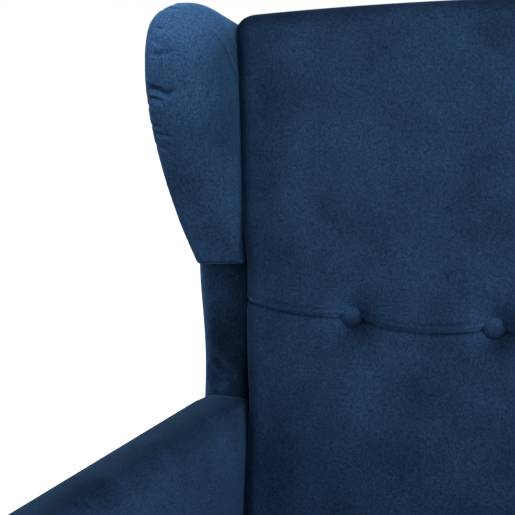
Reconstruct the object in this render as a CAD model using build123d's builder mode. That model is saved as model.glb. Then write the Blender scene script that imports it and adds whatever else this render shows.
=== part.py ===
"""Push-back recliner wing chair: velvet upholstery on a wooden frame with a steel linkage.

The sitter leans back. The back turns on two side pivots, the seat swings forward on four links,
and a scissor linkage lifts the footrest out of the front of the chair.
+Z is up, -Y is the front, and the origin lies on the floor under the middle of the chair.
All sizes are in millimetres. "Depth" on the back is measured from the cushion's front face.
"""

import os
from math import asin, atan2, cos, degrees, hypot, radians, sin, sqrt, tan

from build123d import *

os.makedirs("parts", exist_ok=True)

# ---------------------------------------------------------------- driving dimensions
# Whole chair
CHAIR_WIDTH = 690.0
CHAIR_HEIGHT = 1058.0
FRONT_Y = -384.6
LEG_HEIGHT = 120.0  # the heights below that add it move up and down with it
FIT = 0.3  # gap between soft pieces on different bodies
SLIDE_GAP = 3.0  # gap beside a cushion that slides

# Arms
ARM_THICKNESS = 90.0
ARM_TOP_Z = LEG_HEIGHT + 520.0
ARM_TOP_ROLL = 30.0
ARM_EDGE = 12.0
SILL_WIDTH = 60.0
SILL_HEIGHT = 40.0
SILL_REAR_PADDING = 15.0
ARM_BOARD = 18.0
ARM_TOP_PADDING = 45.0
ARM_FRONT_PADDING = 30.0
ARM_REAR_PADDING = 22.0
REAR_STEP_Z = LEG_HEIGHT + 135.0  # height of the base behind the arms, under the back
REAR_END_Y = 314.0

# Back
RECLINE_AT_REST = 6.0
SEAT_TOP_Z = LEG_HEIGHT + 350.0
BACK_FRONT_Y = 170.0  # cushion's front face at the seat's level
BACK_CUSHION_BELOW_TOP = 12.0  # how far its top lies below the wings' top
BACK_CUSHION_THICKNESS = 85.0
CUSHION_WING_GAP = 3.0
CUSHION_BOLSTER_GAP = 3.3
CUSHION_WIDENING = 40.0  # how far above the arms it has grown to its full width
BACK_CUSHION_DROP = 12.0  # how far above the seat cushion the back cushion ends
BUTTON_RADIUS = 12.5
BUTTON_SPACING = 143.0
BUTTON_SEAM_Z = LEG_HEIGHT + 620.0
BUTTON_THICKNESS = 9.0
BUTTON_SINK = 14.0
BUTTON_EDGE = 4.0
BOLSTER_DEPTH = 31.0  # front face of the side bolsters
BOLSTER_SET_IN = 15.0  # from the arm's outer face
BOLSTER_REAR_DEPTH = 152.0
BACK_PANEL_THICKNESS = 8.0
BACK_PANEL_BOTTOM_Z = LEG_HEIGHT + 212.0
BACK_BRACKET_WIDTH = 24.0
BACK_SCREW_RISES = (20.0, 90.0)  # above the foot of the posts
BACK_CUSHION_CORNER = 28.0
BACK_PIVOT_Z = LEG_HEIGHT + 205.0
RECLINE_TRAVEL = 32.0
BACK_BOTTOM_Z = LEG_HEIGHT + 236.0

# Wings: the front edge as (distance below the top, depth) points, from the bottom up
WING_LEAN = 4.5  # degrees outwards from upright
WING_SET_OUT = 4.2  # of its inner face at the foot, from the bolster's inner face
WING_THICKNESS = 56.5
WING_EDGE = [
    (272.0, 16.0),
    (185.0, -32.0),
    (103.0, -72.0),
    (43.0, -77.0),
    (10.0, -43.0),
    (0.0, 8.0),
]
WING_TOP_FALL = 12.0
WING_BOARD = 15.0
WING_PADDING = 28.0
BOARD_INSET = 38.0
BLOCK_HEIGHTS = (LEG_HEIGHT + 440.0, LEG_HEIGHT + 580.0)
BLOCK_HEIGHT = 50.0
BLOCK_SETBACK = 10.0
BOARD_ASIDE = 6.0  # outwards from the middle of the bolster
BOARD_RAISE = 24.0  # above the foot of the posts

# Back frame
POST_WIDTH = 36.0
POST_BELOW_TOP = 40.0
RAIL_HEIGHT = 60.0
RAIL_DEPTH = 25.0
LOWER_RAIL_Z = LEG_HEIGHT + 400.0
MIDDLE_RAIL_Z = LEG_HEIGHT + 620.0
WEB_WIDTH = 50.0
WEB_THICKNESS = 2.0
WEB_COUNT = 5
WEB_SETBACK = 5.0
TOP_PADDING = 26.0

# Base
BASE_RAIL_THICKNESS = 23.0
BASE_RAIL_PIN_GAP = 1.1  # between the side rails and the heads of the pivot pins above them
REAR_RAIL_HEIGHT = 85.0
BASE_RAIL_SETBACK = 60.0
CROSS_RAIL_DEPTH = 30.0
FRONT_CROSS_RAIL_Y = -180.0
FRONT_CROSS_RAIL_HEIGHT = 28.0
CROSS_RAIL_SIDE_GAP = 4.0
RAIL_END_GAP = 1.0
DUST_COVER = 1.5
DUST_COVER_SETBACK = 10.0
REAR_PANEL = 8.0
REAR_PANEL_EDGE = 6.0
BASE_PLATE_RAISE = 14.0
BASE_PLATE_RIM = 18.0
BASE_PLATE_FRONT_RIM = 26.0
BASE_SCREW_INSET = 16.0
BASE_SCREW_PLACES = (60.0, -60.0, -200.0)
BASE_SCREW_ABOVE_FOOT = 32.0
BASE_SCREW_BELOW_TOP = 19.0
PIVOT_TOWER_RUN = 70.0

# Legs
LEG_INSET = 47.0  # from the arm's outer face
LEG_FRONT_Y = -345.0
LEG_REAR_Y = 272.0
LEG_TOP_RADIUS = 24.0
LEG_FOOT_RADIUS = 14.0
LEG_COLLAR = 9.0
LEG_PLATE = 3.0
LEG_PLATE_SIZE = 62.0
LEG_PLATE_CORNER = 8.0
GLIDE_HEIGHT = 4.0
GLIDE_INSET = 1.0
GLIDE_CHAMFER = 0.8
LEG_BOLT_RADIUS = 4.0
LEG_BOLT_CLEARANCE = 0.1
LEG_BOLT_UP = 32.0
LEG_BOLT_DOWN = 40.0

# Seat
SEAT_CUSHION_BOTTOM_Z = LEG_HEIGHT + 239.0
SEAT_REAR_Y = 226.0
SEAT_RAIL_HEIGHT = 35.0
SEAT_RAIL_WIDTH = 45.0
SEAT_RAIL_DEPTH = 30.0
SEAT_FRAME_FRONT_Y = -318.0
SEAT_FRAME_REAR_Y = 218.0
SEAT_CROWN = 6.0
SEAT_NOSE = 30.0
SEAT_FLANGE = 36.0
SEAT_PLATE_RIM = 14.0
SEAT_TAIL_LENGTH = 30.0
SEAT_TAIL_SLOPE = 40.0
SEAT_SIDE_OVERHANG = 8.0
SEAT_SCREW_INSET = 22.0
SEAT_SCREW_FRONT = 30.0
SEAT_SCREW_PLACES = (-120.0, 20.0)
SEAT_SCREW_REAR = 16.0
SPRING_COUNT = 5
SPRING_WIRE = 1.9  # wire radius of the zigzag springs
SPRING_PITCH = 44.0
SPRING_HALF_WIDTH = 20.0
SPRING_BEND = 6.0
SPRING_BEND_SHARES = (0.3, 0.7)  # of each turn's length, where the wire bends
SPRING_DROP = 3.0
SPRING_COVER = 1.7
SPRING_COVER_INSET = 5.0
SPRING_COVER_END = 1.0
CLIP_WIDTH = 22.0
CLIP_LENGTH = 14.0
CLIP_THICKNESS = 1.2

# Steel linkage: 3 mm plates in parallel layers, named by the plane nearest the middle
PLATE = 3.0
LAYER_PITCH = 6.0
LINK_WIDTH = 18.0
PIN_RADIUS = 4.0
PIN_CLEARANCE = 0.08
FACE_GAP = 0.3
GUIDE_OPEN_CLEARANCE = 1.1
UPPER_OPEN_CLEARANCE = 2.6
SLOT_CLEARANCE = 0.3
COLLAR_RADIUS = 6.5
HEAD_RADIUS = 7.0
HEAD_THICKNESS = 1.6
TUBE_RADIUS = 11.0
TUBE_WALL = 1.5
WIDE_HEAD_RADIUS = 8.5
DRIVE_PIN_END = 4.0
PIVOT_BOLT_HEAD = 9.0
PIVOT_EAR = 16.0
SCREW_RADIUS = 2.2
SCREW_LENGTH = 20.0
SCREW_HEAD = 1.4
SCREW_HEAD_RADIUS = 4.0

# Linkage points, as (forward, height): forward is -Y
DRIVE_PIVOT = (252.0, LEG_HEIGHT + 186.0)
DRIVE_LENGTH = 165.0
FOOTREST_PIVOT = (333.0, LEG_HEIGHT + 180.0)
GUIDE_PIVOT = (290.35, LEG_HEIGHT + 149.5)
GUIDE_ALONG = -3.3
GUIDE_ASIDE = -26.0
UPPER_START_BACK = 24.75  # from the knee, back along the drive link
UPPER_START_ASIDE = -5.0
UPPER_END_FROM_PIVOT = (-4.0, 22.5)
SWING_LENGTH = 80.0  # also the distance from the back's pivot to its slot pin
SWING_TOP_Z = LEG_HEIGHT + 170.0
SWING_FRONT = 190.0
SWING_REAR = -120.0

# Footrest
FOOTREST_TOP_Z = LEG_HEIGHT + 226.0
FOOTREST_BOTTOM_Z = LEG_HEIGHT + 10.0
FOOTREST_BOARD_FRONT = 12.0  # from the bracket's pivot to the board's rear face
FOOTREST_BOARD = 12.0
FOOTREST_BOARD_SIDE = 15.0
FOOTREST_BOARD_RIM = 12.0
FOOTREST_BOARD_CORNER = 10.0
FOOTREST_SIDE_GAP = 6.0
FOOTREST_EDGE = 14.0
BRACKET_FLANGE = 26.0
BRACKET_STEEL = 2.5
BRACKET_RIM = 13.0
BRACKET_DROP = 60.0
BRACKET_STEP = 10.0
BRACKET_SCREW_INSET = 14.0
BRACKET_SCREW_ASIDE = 3.0

# ---------------------------------------------------------------- derived places
ARM_OUTER = CHAIR_WIDTH / 2
ARM_INNER = ARM_OUTER - ARM_THICKNESS
ARM_MIDDLE = (ARM_OUTER + ARM_INNER) / 2
LEG_X = ARM_OUTER - LEG_INSET
LAYER_BASE = ARM_INNER - BASE_RAIL_THICKNESS - PLATE
LAYER_SWING = LAYER_BASE - LAYER_PITCH
LAYER_SEAT = LAYER_SWING - LAYER_PITCH
LAYER_DRIVE = LAYER_SEAT - LAYER_PITCH
LAYER_MAIN = LAYER_DRIVE - LAYER_PITCH
LAYER_BRACKET = LAYER_MAIN - LAYER_PITCH
LAYER_UPPER = LAYER_BRACKET - LAYER_PITCH
WING_TAN = tan(radians(WING_LEAN))
WING_SIN = sin(radians(WING_LEAN))
WING_COS = cos(radians(WING_LEAN))
BOLSTER_OUTER = ARM_OUTER - BOLSTER_SET_IN
wing_edge = [(CHAIR_HEIGHT - drop, depth) for drop, depth in WING_EDGE]
WING_BOTTOM_Z = wing_edge[0][0]
BACK_CUSHION_TOP_Z = CHAIR_HEIGHT - BACK_CUSHION_BELOW_TOP
POST_TOP_Z = CHAIR_HEIGHT - POST_BELOW_TOP
BACK_TAN = tan(radians(RECLINE_AT_REST))
BACK_SIN = sin(radians(RECLINE_AT_REST))
BACK_COS = cos(radians(RECLINE_AT_REST))
BOLSTER_MIDDLE_DEPTH = (BOLSTER_DEPTH + BOLSTER_REAR_DEPTH) / 2
KNUCKLE_RADIUS = (BOLSTER_REAR_DEPTH - BOLSTER_DEPTH) / 2


def back_y(z, depth):
    """Y of the point at height z that lies this deep behind the back cushion's front face."""
    return BACK_FRONT_Y + (z - SEAT_TOP_Z) * BACK_TAN + depth / BACK_COS


BACK_PIVOT = (back_y(BACK_PIVOT_Z, BOLSTER_MIDDLE_DEPTH), BACK_PIVOT_Z)
BACK_PLANE = Plane(
    origin=(0, BACK_FRONT_Y, SEAT_TOP_Z), x_dir=(1, 0, 0), z_dir=(0, -BACK_COS, BACK_SIN)
)


def slope(z):
    """Distance up the back's front face to height z."""
    return (z - SEAT_TOP_Z) / BACK_COS


def yz(point):
    """A (forward, height) point of the linkage as (Y, Z)."""
    return (-point[0], point[1])


def along(start, angle, length):
    """The (forward, height) point this far from start, at an angle above the forward direction."""
    return (start[0] + length * cos(radians(angle)), start[1] + length * sin(radians(angle)))


def meeting_angles(start, end, length):
    """Angles of two equal links that join start to end, with their knee below the line."""
    reach = hypot(end[0] - start[0], end[1] - start[1])
    direction = degrees(atan2(end[1] - start[1], end[0] - start[0]))
    half = degrees(asin(sqrt(1 - (reach / (2 * length)) ** 2)))
    return direction - half, direction + half


DRIVE_ANGLE, MAIN_ANGLE = meeting_angles(DRIVE_PIVOT, FOOTREST_PIVOT, DRIVE_LENGTH)
KNEE = along(DRIVE_PIVOT, DRIVE_ANGLE, DRIVE_LENGTH)
GUIDE_END = along(along(KNEE, MAIN_ANGLE, GUIDE_ALONG), MAIN_ANGLE + 90, GUIDE_ASIDE)
UPPER_FOOT = along(KNEE, DRIVE_ANGLE, -UPPER_START_BACK)
UPPER_START = along(UPPER_FOOT, DRIVE_ANGLE + 90, UPPER_START_ASIDE)
UPPER_END = (
    FOOTREST_PIVOT[0] + UPPER_END_FROM_PIVOT[0],
    FOOTREST_PIVOT[1] + UPPER_END_FROM_PIVOT[1],
)
SWING_FRONT_TOP = (SWING_FRONT, SWING_TOP_Z)
SWING_REAR_TOP = (SWING_REAR, SWING_TOP_Z)
SWING_LEAN = RECLINE_TRAVEL / 2  # the links pass through upright halfway
SWING_FRONT_FOOT = along(SWING_FRONT_TOP, SWING_LEAN - 90, SWING_LENGTH)
SWING_REAR_FOOT = along(SWING_REAR_TOP, SWING_LEAN - 90, SWING_LENGTH)
SWING_RISE = SWING_LENGTH * (1 - cos(radians(SWING_LEAN)))
BACK_PIVOT_FORWARD = (-BACK_PIVOT[0], BACK_PIVOT[1])
SLOT_PIN = along(BACK_PIVOT_FORWARD, -90 - SWING_LEAN, SWING_LENGTH)
SEAT_RAIL_TOP_Z = SEAT_CUSHION_BOTTOM_Z - SPRING_COVER - FIT
SEAT_RAIL_BOTTOM_Z = SEAT_RAIL_TOP_Z - SEAT_RAIL_HEIGHT
SEAT_HALF_WIDTH = ARM_INNER - SLIDE_GAP
SEAT_SIDE_OUTER = LAYER_SEAT + PLATE + SEAT_SIDE_OVERHANG
SEAT_FLANGE_LENGTH = SEAT_FRAME_REAR_Y + GUIDE_PIVOT[0] + SEAT_PLATE_RIM
SEAT_FLANGE_MIDDLE_Y = SEAT_FRAME_REAR_Y - SEAT_FLANGE_LENGTH / 2
FOOTREST_REAR = FOOTREST_PIVOT[0] + FOOTREST_BOARD_FRONT
FOOTREST_HALF_WIDTH = ARM_INNER - FOOTREST_SIDE_GAP
BASE_RAIL_INNER = LAYER_BASE + PLATE
POST_INNER = LAYER_SWING + PLATE
POST_FRONT = BACK_CUSHION_THICKNESS + WEB_THICKNESS + FIT
POST_REAR = BOLSTER_REAR_DEPTH - BACK_PANEL_THICKNESS
BOLSTER_INNER = POST_INNER + POST_WIDTH + FIT
WING_FOOT_INNER = BOLSTER_INNER + WING_SET_OUT
WING_TOP_INNER = WING_FOOT_INNER + (BACK_CUSHION_TOP_Z - WING_BOTTOM_Z) * WING_TAN
BACK_CUSHION_HALF_TOP = WING_TOP_INNER - CUSHION_WING_GAP
BACK_CUSHION_HALF_MIDDLE = BOLSTER_INNER - CUSHION_BOLSTER_GAP
BACK_CUSHION_HALF_LOW = ARM_INNER - SLIDE_GAP


def save(name, part):
    """Labels a finished piece and writes its STEP file."""
    part.label = name
    export_step(part, f"parts/{name}.step")


def link(start, end, width=LINK_WIDTH):
    """Outline of a flat link between two (forward, height) points, in a YZ sketch."""
    a, b = yz(start), yz(end)
    with Locations(((a[0] + b[0]) / 2, (a[1] + b[1]) / 2)):
        SlotCenterToCenter(
            hypot(b[0] - a[0], b[1] - a[1]), width, rotation=degrees(atan2(b[1] - a[1], b[0] - a[0]))
        )


def hole(point, clearance=PIN_CLEARANCE):
    """A pivot hole at a (forward, height) point, in a YZ sketch."""
    with Locations(yz(point)):
        Circle(PIN_RADIUS + clearance, mode=Mode.SUBTRACT)


def rod(point, inner, outer, radius):
    """A round rod along X on the +X side, at a (forward, height) point."""
    with BuildSketch(Plane.YZ.offset(inner)) as section:
        with Locations(yz(point)):
            Circle(radius)
    extrude(section.sketch, amount=outer - inner)


def rivet(point, inner_layer, outer_layer, head=HEAD_RADIUS, tail=HEAD_RADIUS):
    """A pin with a head on each end and a collar that keeps the plates of two layers apart."""
    inner_face = inner_layer - FACE_GAP
    outer_face = outer_layer + PLATE + FACE_GAP
    rod(point, inner_face - HEAD_THICKNESS, inner_face, head)
    rod(point, inner_face, outer_face, PIN_RADIUS)
    rod(point, inner_layer + PLATE + FACE_GAP, outer_layer - FACE_GAP, COLLAR_RADIUS)
    rod(point, outer_face, outer_face + HEAD_THICKNESS, tail)


# ================================================================ base: legs
LEG_TOP_Z = LEG_HEIGHT - LEG_PLATE
LEG_HOLE_PITCH = LEG_PLATE_SIZE - 2 * LEG_PLATE_CORNER
leg_places = [(x, y) for y in (LEG_FRONT_Y, LEG_REAR_Y) for x in (-LEG_X, LEG_X)]
for leg_name, leg_y in (("front_legs", LEG_FRONT_Y), ("rear_legs", LEG_REAR_Y)):
    with BuildPart() as legs:
        with BuildSketch(Plane((LEG_X, leg_y, 0), x_dir=(1, 0, 0), z_dir=(0, -1, 0))):
            with BuildLine():
                Polyline(
                    (LEG_BOLT_RADIUS, LEG_TOP_Z - LEG_BOLT_DOWN),
                    (LEG_BOLT_RADIUS, LEG_TOP_Z),
                    (LEG_TOP_RADIUS, LEG_TOP_Z),
                    (LEG_TOP_RADIUS, LEG_TOP_Z - LEG_COLLAR),
                    (LEG_TOP_RADIUS - LEG_COLLAR / 3, LEG_TOP_Z - LEG_COLLAR * 4 / 3),
                    (LEG_FOOT_RADIUS, GLIDE_HEIGHT),
                    (0, GLIDE_HEIGHT),
                    (0, LEG_TOP_Z - LEG_BOLT_DOWN),
                    close=True,
                )
            make_face()
        revolve(axis=Axis((LEG_X, leg_y, 0), (0, 0, 1)))
        mirror(about=Plane.YZ)
    save(leg_name, legs.part)

with BuildPart() as leg_plates:
    with BuildSketch(Plane.XY.offset(LEG_TOP_Z)):
        with Locations(*leg_places):
            RectangleRounded(LEG_PLATE_SIZE, LEG_PLATE_SIZE, LEG_PLATE_CORNER)
            Circle(LEG_BOLT_RADIUS, mode=Mode.SUBTRACT)
            with GridLocations(LEG_HOLE_PITCH, LEG_HOLE_PITCH, 2, 2):
                Circle(SCREW_RADIUS, mode=Mode.SUBTRACT)
    extrude(amount=LEG_PLATE)
save("leg_plates", leg_plates.part)

with BuildPart() as leg_bolts:
    with BuildSketch(Plane.XY.offset(LEG_TOP_Z - LEG_BOLT_DOWN)):
        with Locations(*leg_places):
            Circle(LEG_BOLT_RADIUS - LEG_BOLT_CLEARANCE)
    extrude(amount=LEG_BOLT_DOWN + LEG_PLATE + LEG_BOLT_UP)
save("leg_bolts", leg_bolts.part)

with BuildPart() as leg_glides:
    with BuildSketch(Plane.XY):
        with Locations(*leg_places):
            Circle(LEG_FOOT_RADIUS - GLIDE_INSET)
    extrude(amount=GLIDE_HEIGHT)
    chamfer(leg_glides.edges().group_by(Axis.Z)[0], GLIDE_CHAMFER)
save("leg_glides", leg_glides.part)

# ================================================================ base: arms
ARM_REAR_DEPTH = BOLSTER_DEPTH - FIT
ARM_REAR_TOP_Y = back_y(ARM_TOP_Z, ARM_REAR_DEPTH)
SILL_TOP_Z = LEG_HEIGHT + SILL_HEIGHT
ARM_BOARD_TOP_Z = ARM_TOP_Z - ARM_TOP_PADDING
ARM_BOARD_FRONT_Y = FRONT_Y + ARM_FRONT_PADDING
ARM_BOARD_REAR_Y = back_y(REAR_STEP_Z, ARM_REAR_DEPTH) - ARM_REAR_PADDING
SILL_REAR_Y = REAR_END_Y - SILL_REAR_PADDING


def arm_board_outline():
    """Side outline of the plywood board inside an arm."""
    Polyline(
        (ARM_BOARD_FRONT_Y, SILL_TOP_Z),
        (ARM_BOARD_FRONT_Y, ARM_BOARD_TOP_Z),
        (ARM_BOARD_REAR_Y, ARM_BOARD_TOP_Z),
        (ARM_BOARD_REAR_Y, SILL_TOP_Z),
        close=True,
    )


with BuildPart() as right_arm_pad:
    with BuildSketch(Plane.YZ.offset(ARM_INNER)):
        with BuildLine():
            Polyline(
                (FRONT_Y, LEG_HEIGHT),
                (FRONT_Y, ARM_TOP_Z),
                (ARM_REAR_TOP_Y, ARM_TOP_Z),
                (back_y(REAR_STEP_Z, ARM_REAR_DEPTH), REAR_STEP_Z),
                (REAR_END_Y, REAR_STEP_Z),
                (REAR_END_Y, LEG_HEIGHT),
                close=True,
            )
        make_face()
    extrude(amount=ARM_THICKNESS)
    top_edges = right_arm_pad.faces().sort_by(Axis.Z)[-1].edges().filter_by(Axis.Y)
    fillet(top_edges, ARM_TOP_ROLL)
    front_edges = right_arm_pad.faces().sort_by(Axis.Y)[0].edges()
    fillet(front_edges.filter_by(Axis.Z), ARM_EDGE)
    # slot for the board, then the sill's channel, both open underneath
    with BuildSketch(Plane.YZ.offset(ARM_MIDDLE - ARM_BOARD / 2)):
        with BuildLine():
            arm_board_outline()
        make_face()
    extrude(amount=ARM_BOARD, mode=Mode.SUBTRACT)
    with BuildSketch(Plane.XY.offset(LEG_HEIGHT)):
        with Locations((ARM_MIDDLE, (ARM_BOARD_FRONT_Y + SILL_REAR_Y) / 2)):
            Rectangle(SILL_WIDTH, SILL_REAR_Y - ARM_BOARD_FRONT_Y)
    extrude(amount=SILL_HEIGHT, mode=Mode.SUBTRACT)
save("right_arm_pad", right_arm_pad.part)

with BuildPart() as left_arm_pad:
    add(mirror(right_arm_pad.part, about=Plane.YZ))
save("left_arm_pad", left_arm_pad.part)

with BuildPart() as arm_boards:
    with BuildSketch(Plane.YZ.offset(ARM_MIDDLE - ARM_BOARD / 2)):
        with BuildLine():
            arm_board_outline()
        make_face()
    extrude(amount=ARM_BOARD)
    mirror(about=Plane.YZ)
save("arm_boards", arm_boards.part)

with BuildPart() as arm_sills:
    with BuildSketch(Plane.XY.offset(LEG_HEIGHT)):
        with Locations((ARM_MIDDLE, (ARM_BOARD_FRONT_Y + SILL_REAR_Y) / 2)):
            Rectangle(SILL_WIDTH, SILL_REAR_Y - ARM_BOARD_FRONT_Y)
        with Locations((LEG_X, LEG_FRONT_Y), (LEG_X, LEG_REAR_Y)):
            Circle(LEG_BOLT_RADIUS, mode=Mode.SUBTRACT)
    extrude(amount=SILL_HEIGHT)
    mirror(about=Plane.YZ)
save("arm_sills", arm_sills.part)

# ================================================================ base: rails and mechanism plates
BASE_PLATE_BOTTOM_Z = LEG_HEIGHT + BASE_PLATE_RAISE
BASE_PLATE_TOP_Z = SWING_FRONT_FOOT[1] + BASE_PLATE_RIM
BASE_PLATE_FRONT = SWING_FRONT_FOOT[0] + BASE_PLATE_FRONT_RIM
BASE_RAIL_TOP_Z = min(SWING_FRONT_FOOT[1], SWING_REAR_FOOT[1]) - HEAD_RADIUS - BASE_RAIL_PIN_GAP
BASE_RAIL_FRONT_Y = FRONT_Y + BASE_RAIL_SETBACK
BASE_RAIL_REAR_Y = REAR_END_Y - REAR_PANEL - CROSS_RAIL_DEPTH
base_screws = [
    (forward, height)
    for forward in (BASE_PLATE_FRONT - BASE_SCREW_INSET, *BASE_SCREW_PLACES)
    for height in (LEG_HEIGHT + BASE_SCREW_ABOVE_FOOT, BASE_RAIL_TOP_Z - BASE_SCREW_BELOW_TOP)
]

with BuildPart() as base_side_rails:
    with BuildSketch(Plane.YZ.offset(BASE_RAIL_INNER)):
        with Locations(((BASE_RAIL_FRONT_Y + BASE_RAIL_REAR_Y) / 2, (LEG_HEIGHT + BASE_RAIL_TOP_Z) / 2)):
            Rectangle(BASE_RAIL_REAR_Y - BASE_RAIL_FRONT_Y, BASE_RAIL_TOP_Z - LEG_HEIGHT)
        for place in base_screws:
            with Locations(yz(place)):
                Circle(SCREW_RADIUS + PIN_CLEARANCE, mode=Mode.SUBTRACT)
    extrude(amount=BASE_RAIL_THICKNESS)
    mirror(about=Plane.YZ)
save("base_side_rails", base_side_rails.part)

with BuildPart() as front_cross_rail:
    with BuildSketch(Plane.XY.offset(LEG_HEIGHT)):
        with Locations((0, FRONT_CROSS_RAIL_Y)):
            Rectangle(2 * LAYER_BASE, CROSS_RAIL_DEPTH)
    extrude(amount=BASE_PLATE_BOTTOM_Z - LEG_HEIGHT)
    with BuildSketch(Plane.XY.offset(BASE_PLATE_BOTTOM_Z)):
        with Locations((0, FRONT_CROSS_RAIL_Y)):
            Rectangle(2 * (LAYER_BRACKET - CROSS_RAIL_SIDE_GAP), CROSS_RAIL_DEPTH)
    extrude(amount=FRONT_CROSS_RAIL_HEIGHT - (BASE_PLATE_BOTTOM_Z - LEG_HEIGHT))
save("front_cross_rail", front_cross_rail.part)

with BuildPart() as rear_cross_rail:
    with BuildSketch(Plane.XY.offset(LEG_HEIGHT)):
        with Locations((0, REAR_END_Y - REAR_PANEL - CROSS_RAIL_DEPTH / 2)):
            Rectangle(2 * (ARM_INNER - RAIL_END_GAP), CROSS_RAIL_DEPTH)
    extrude(amount=REAR_RAIL_HEIGHT)
save("rear_cross_rail", rear_cross_rail.part)

with BuildPart() as rear_base_panel:
    with BuildSketch(Plane.XZ.offset(-REAR_END_Y)):
        with Locations((0, (LEG_HEIGHT + REAR_STEP_Z) / 2)):
            Rectangle(2 * (ARM_INNER - FIT), REAR_STEP_Z - LEG_HEIGHT)
    extrude(amount=REAR_PANEL)
    top_edge = rear_base_panel.faces().sort_by(Axis.Y)[-1].edges().sort_by(Axis.Z)[-1]
    fillet(top_edge, REAR_PANEL_EDGE)
save("rear_base_panel", rear_base_panel.part)

DUST_COVER_REAR_Y = REAR_END_Y - DUST_COVER_SETBACK
with BuildPart() as dust_cover:
    with BuildSketch(Plane.XY.offset(LEG_HEIGHT)):
        with Locations((0, (BASE_RAIL_FRONT_Y + DUST_COVER_REAR_Y) / 2)):
            Rectangle(2 * (ARM_INNER - RAIL_END_GAP), DUST_COVER_REAR_Y - BASE_RAIL_FRONT_Y)
    extrude(amount=-DUST_COVER)
save("dust_cover", dust_cover.part)

with BuildPart() as base_plates:
    with BuildSketch(Plane.YZ.offset(LAYER_BASE)):
        with BuildLine():
            Polyline(
                (-BASE_PLATE_FRONT, BASE_PLATE_BOTTOM_Z),
                (-BASE_PLATE_FRONT, BASE_PLATE_TOP_Z),
                (BACK_PIVOT[0] - PIVOT_TOWER_RUN, BASE_PLATE_TOP_Z),
                (BACK_PIVOT[0] - PIVOT_EAR, BACK_PIVOT_Z),
                (BACK_PIVOT[0] + PIVOT_EAR, BACK_PIVOT_Z),
                (BACK_PIVOT[0] + PIVOT_EAR, BASE_PLATE_BOTTOM_Z),
                close=True,
            )
        make_face()
        with Locations(BACK_PIVOT):
            Circle(PIVOT_EAR)
        for pivot in (SWING_FRONT_FOOT, SWING_REAR_FOOT, BACK_PIVOT_FORWARD):
            hole(pivot)
        for place in base_screws:
            with Locations(yz(place)):
                Circle(SCREW_RADIUS + PIN_CLEARANCE, mode=Mode.SUBTRACT)
    extrude(amount=PLATE)
    mirror(about=Plane.YZ)
save("base_plates", base_plates.part)

with BuildPart() as base_plate_screws:
    for place in base_screws:
        rod(place, LAYER_BASE - FACE_GAP - SCREW_HEAD, LAYER_BASE - FACE_GAP, SCREW_HEAD_RADIUS)
        rod(place, LAYER_BASE - FACE_GAP, BASE_RAIL_INNER + SCREW_LENGTH, SCREW_RADIUS)
    mirror(about=Plane.YZ)
save("base_plate_screws", base_plate_screws.part)

with BuildPart() as base_pivot_pins:
    for pivot in (SWING_FRONT_FOOT, SWING_REAR_FOOT):
        rivet(pivot, LAYER_SWING, LAYER_BASE)
    mirror(about=Plane.YZ)
save("base_pivot_pins", base_pivot_pins.part)

with BuildPart() as back_pivot_bolts:
    rivet(BACK_PIVOT_FORWARD, LAYER_SWING, LAYER_BASE, head=PIVOT_BOLT_HEAD, tail=PIVOT_BOLT_HEAD)
    mirror(about=Plane.YZ)
save("back_pivot_bolts", back_pivot_bolts.part)

# ================================================================ swing links
for swing_name, foot, top in (
    ("front_swing_links", SWING_FRONT_FOOT, SWING_FRONT_TOP),
    ("rear_swing_links", SWING_REAR_FOOT, SWING_REAR_TOP),
):
    with BuildPart() as swing_links:
        with BuildSketch(Plane.YZ.offset(LAYER_SWING)):
            link(foot, top)
            hole(foot)
            hole(top)
        extrude(amount=PLATE)
        mirror(about=Plane.YZ)
    save(swing_name, swing_links.part)

# ================================================================ seat: plates and pins
SEAT_PLATE_FRONT = GUIDE_PIVOT[0] + SEAT_PLATE_RIM
SEAT_PLATE_REAR = SLOT_PIN[0] - SEAT_PLATE_RIM
SEAT_PLATE_BOTTOM_Z = SWING_TOP_Z - SEAT_PLATE_RIM
SEAT_TAIL_FRONT = SLOT_PIN[0] + SEAT_TAIL_LENGTH
SEAT_TAIL_TOP_Z = SLOT_PIN[1] + SEAT_PLATE_RIM
SEAT_TAIL_BOTTOM_Z = SLOT_PIN[1] - SWING_RISE * 2 - SEAT_PLATE_RIM
SEAT_SCREW_X = LAYER_SEAT - SEAT_SCREW_INSET
seat_screws = [
    -SEAT_PLATE_FRONT + SEAT_SCREW_FRONT,
    *SEAT_SCREW_PLACES,
    SEAT_FRAME_REAR_Y - SEAT_RAIL_DEPTH - SEAT_SCREW_REAR,
]

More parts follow.
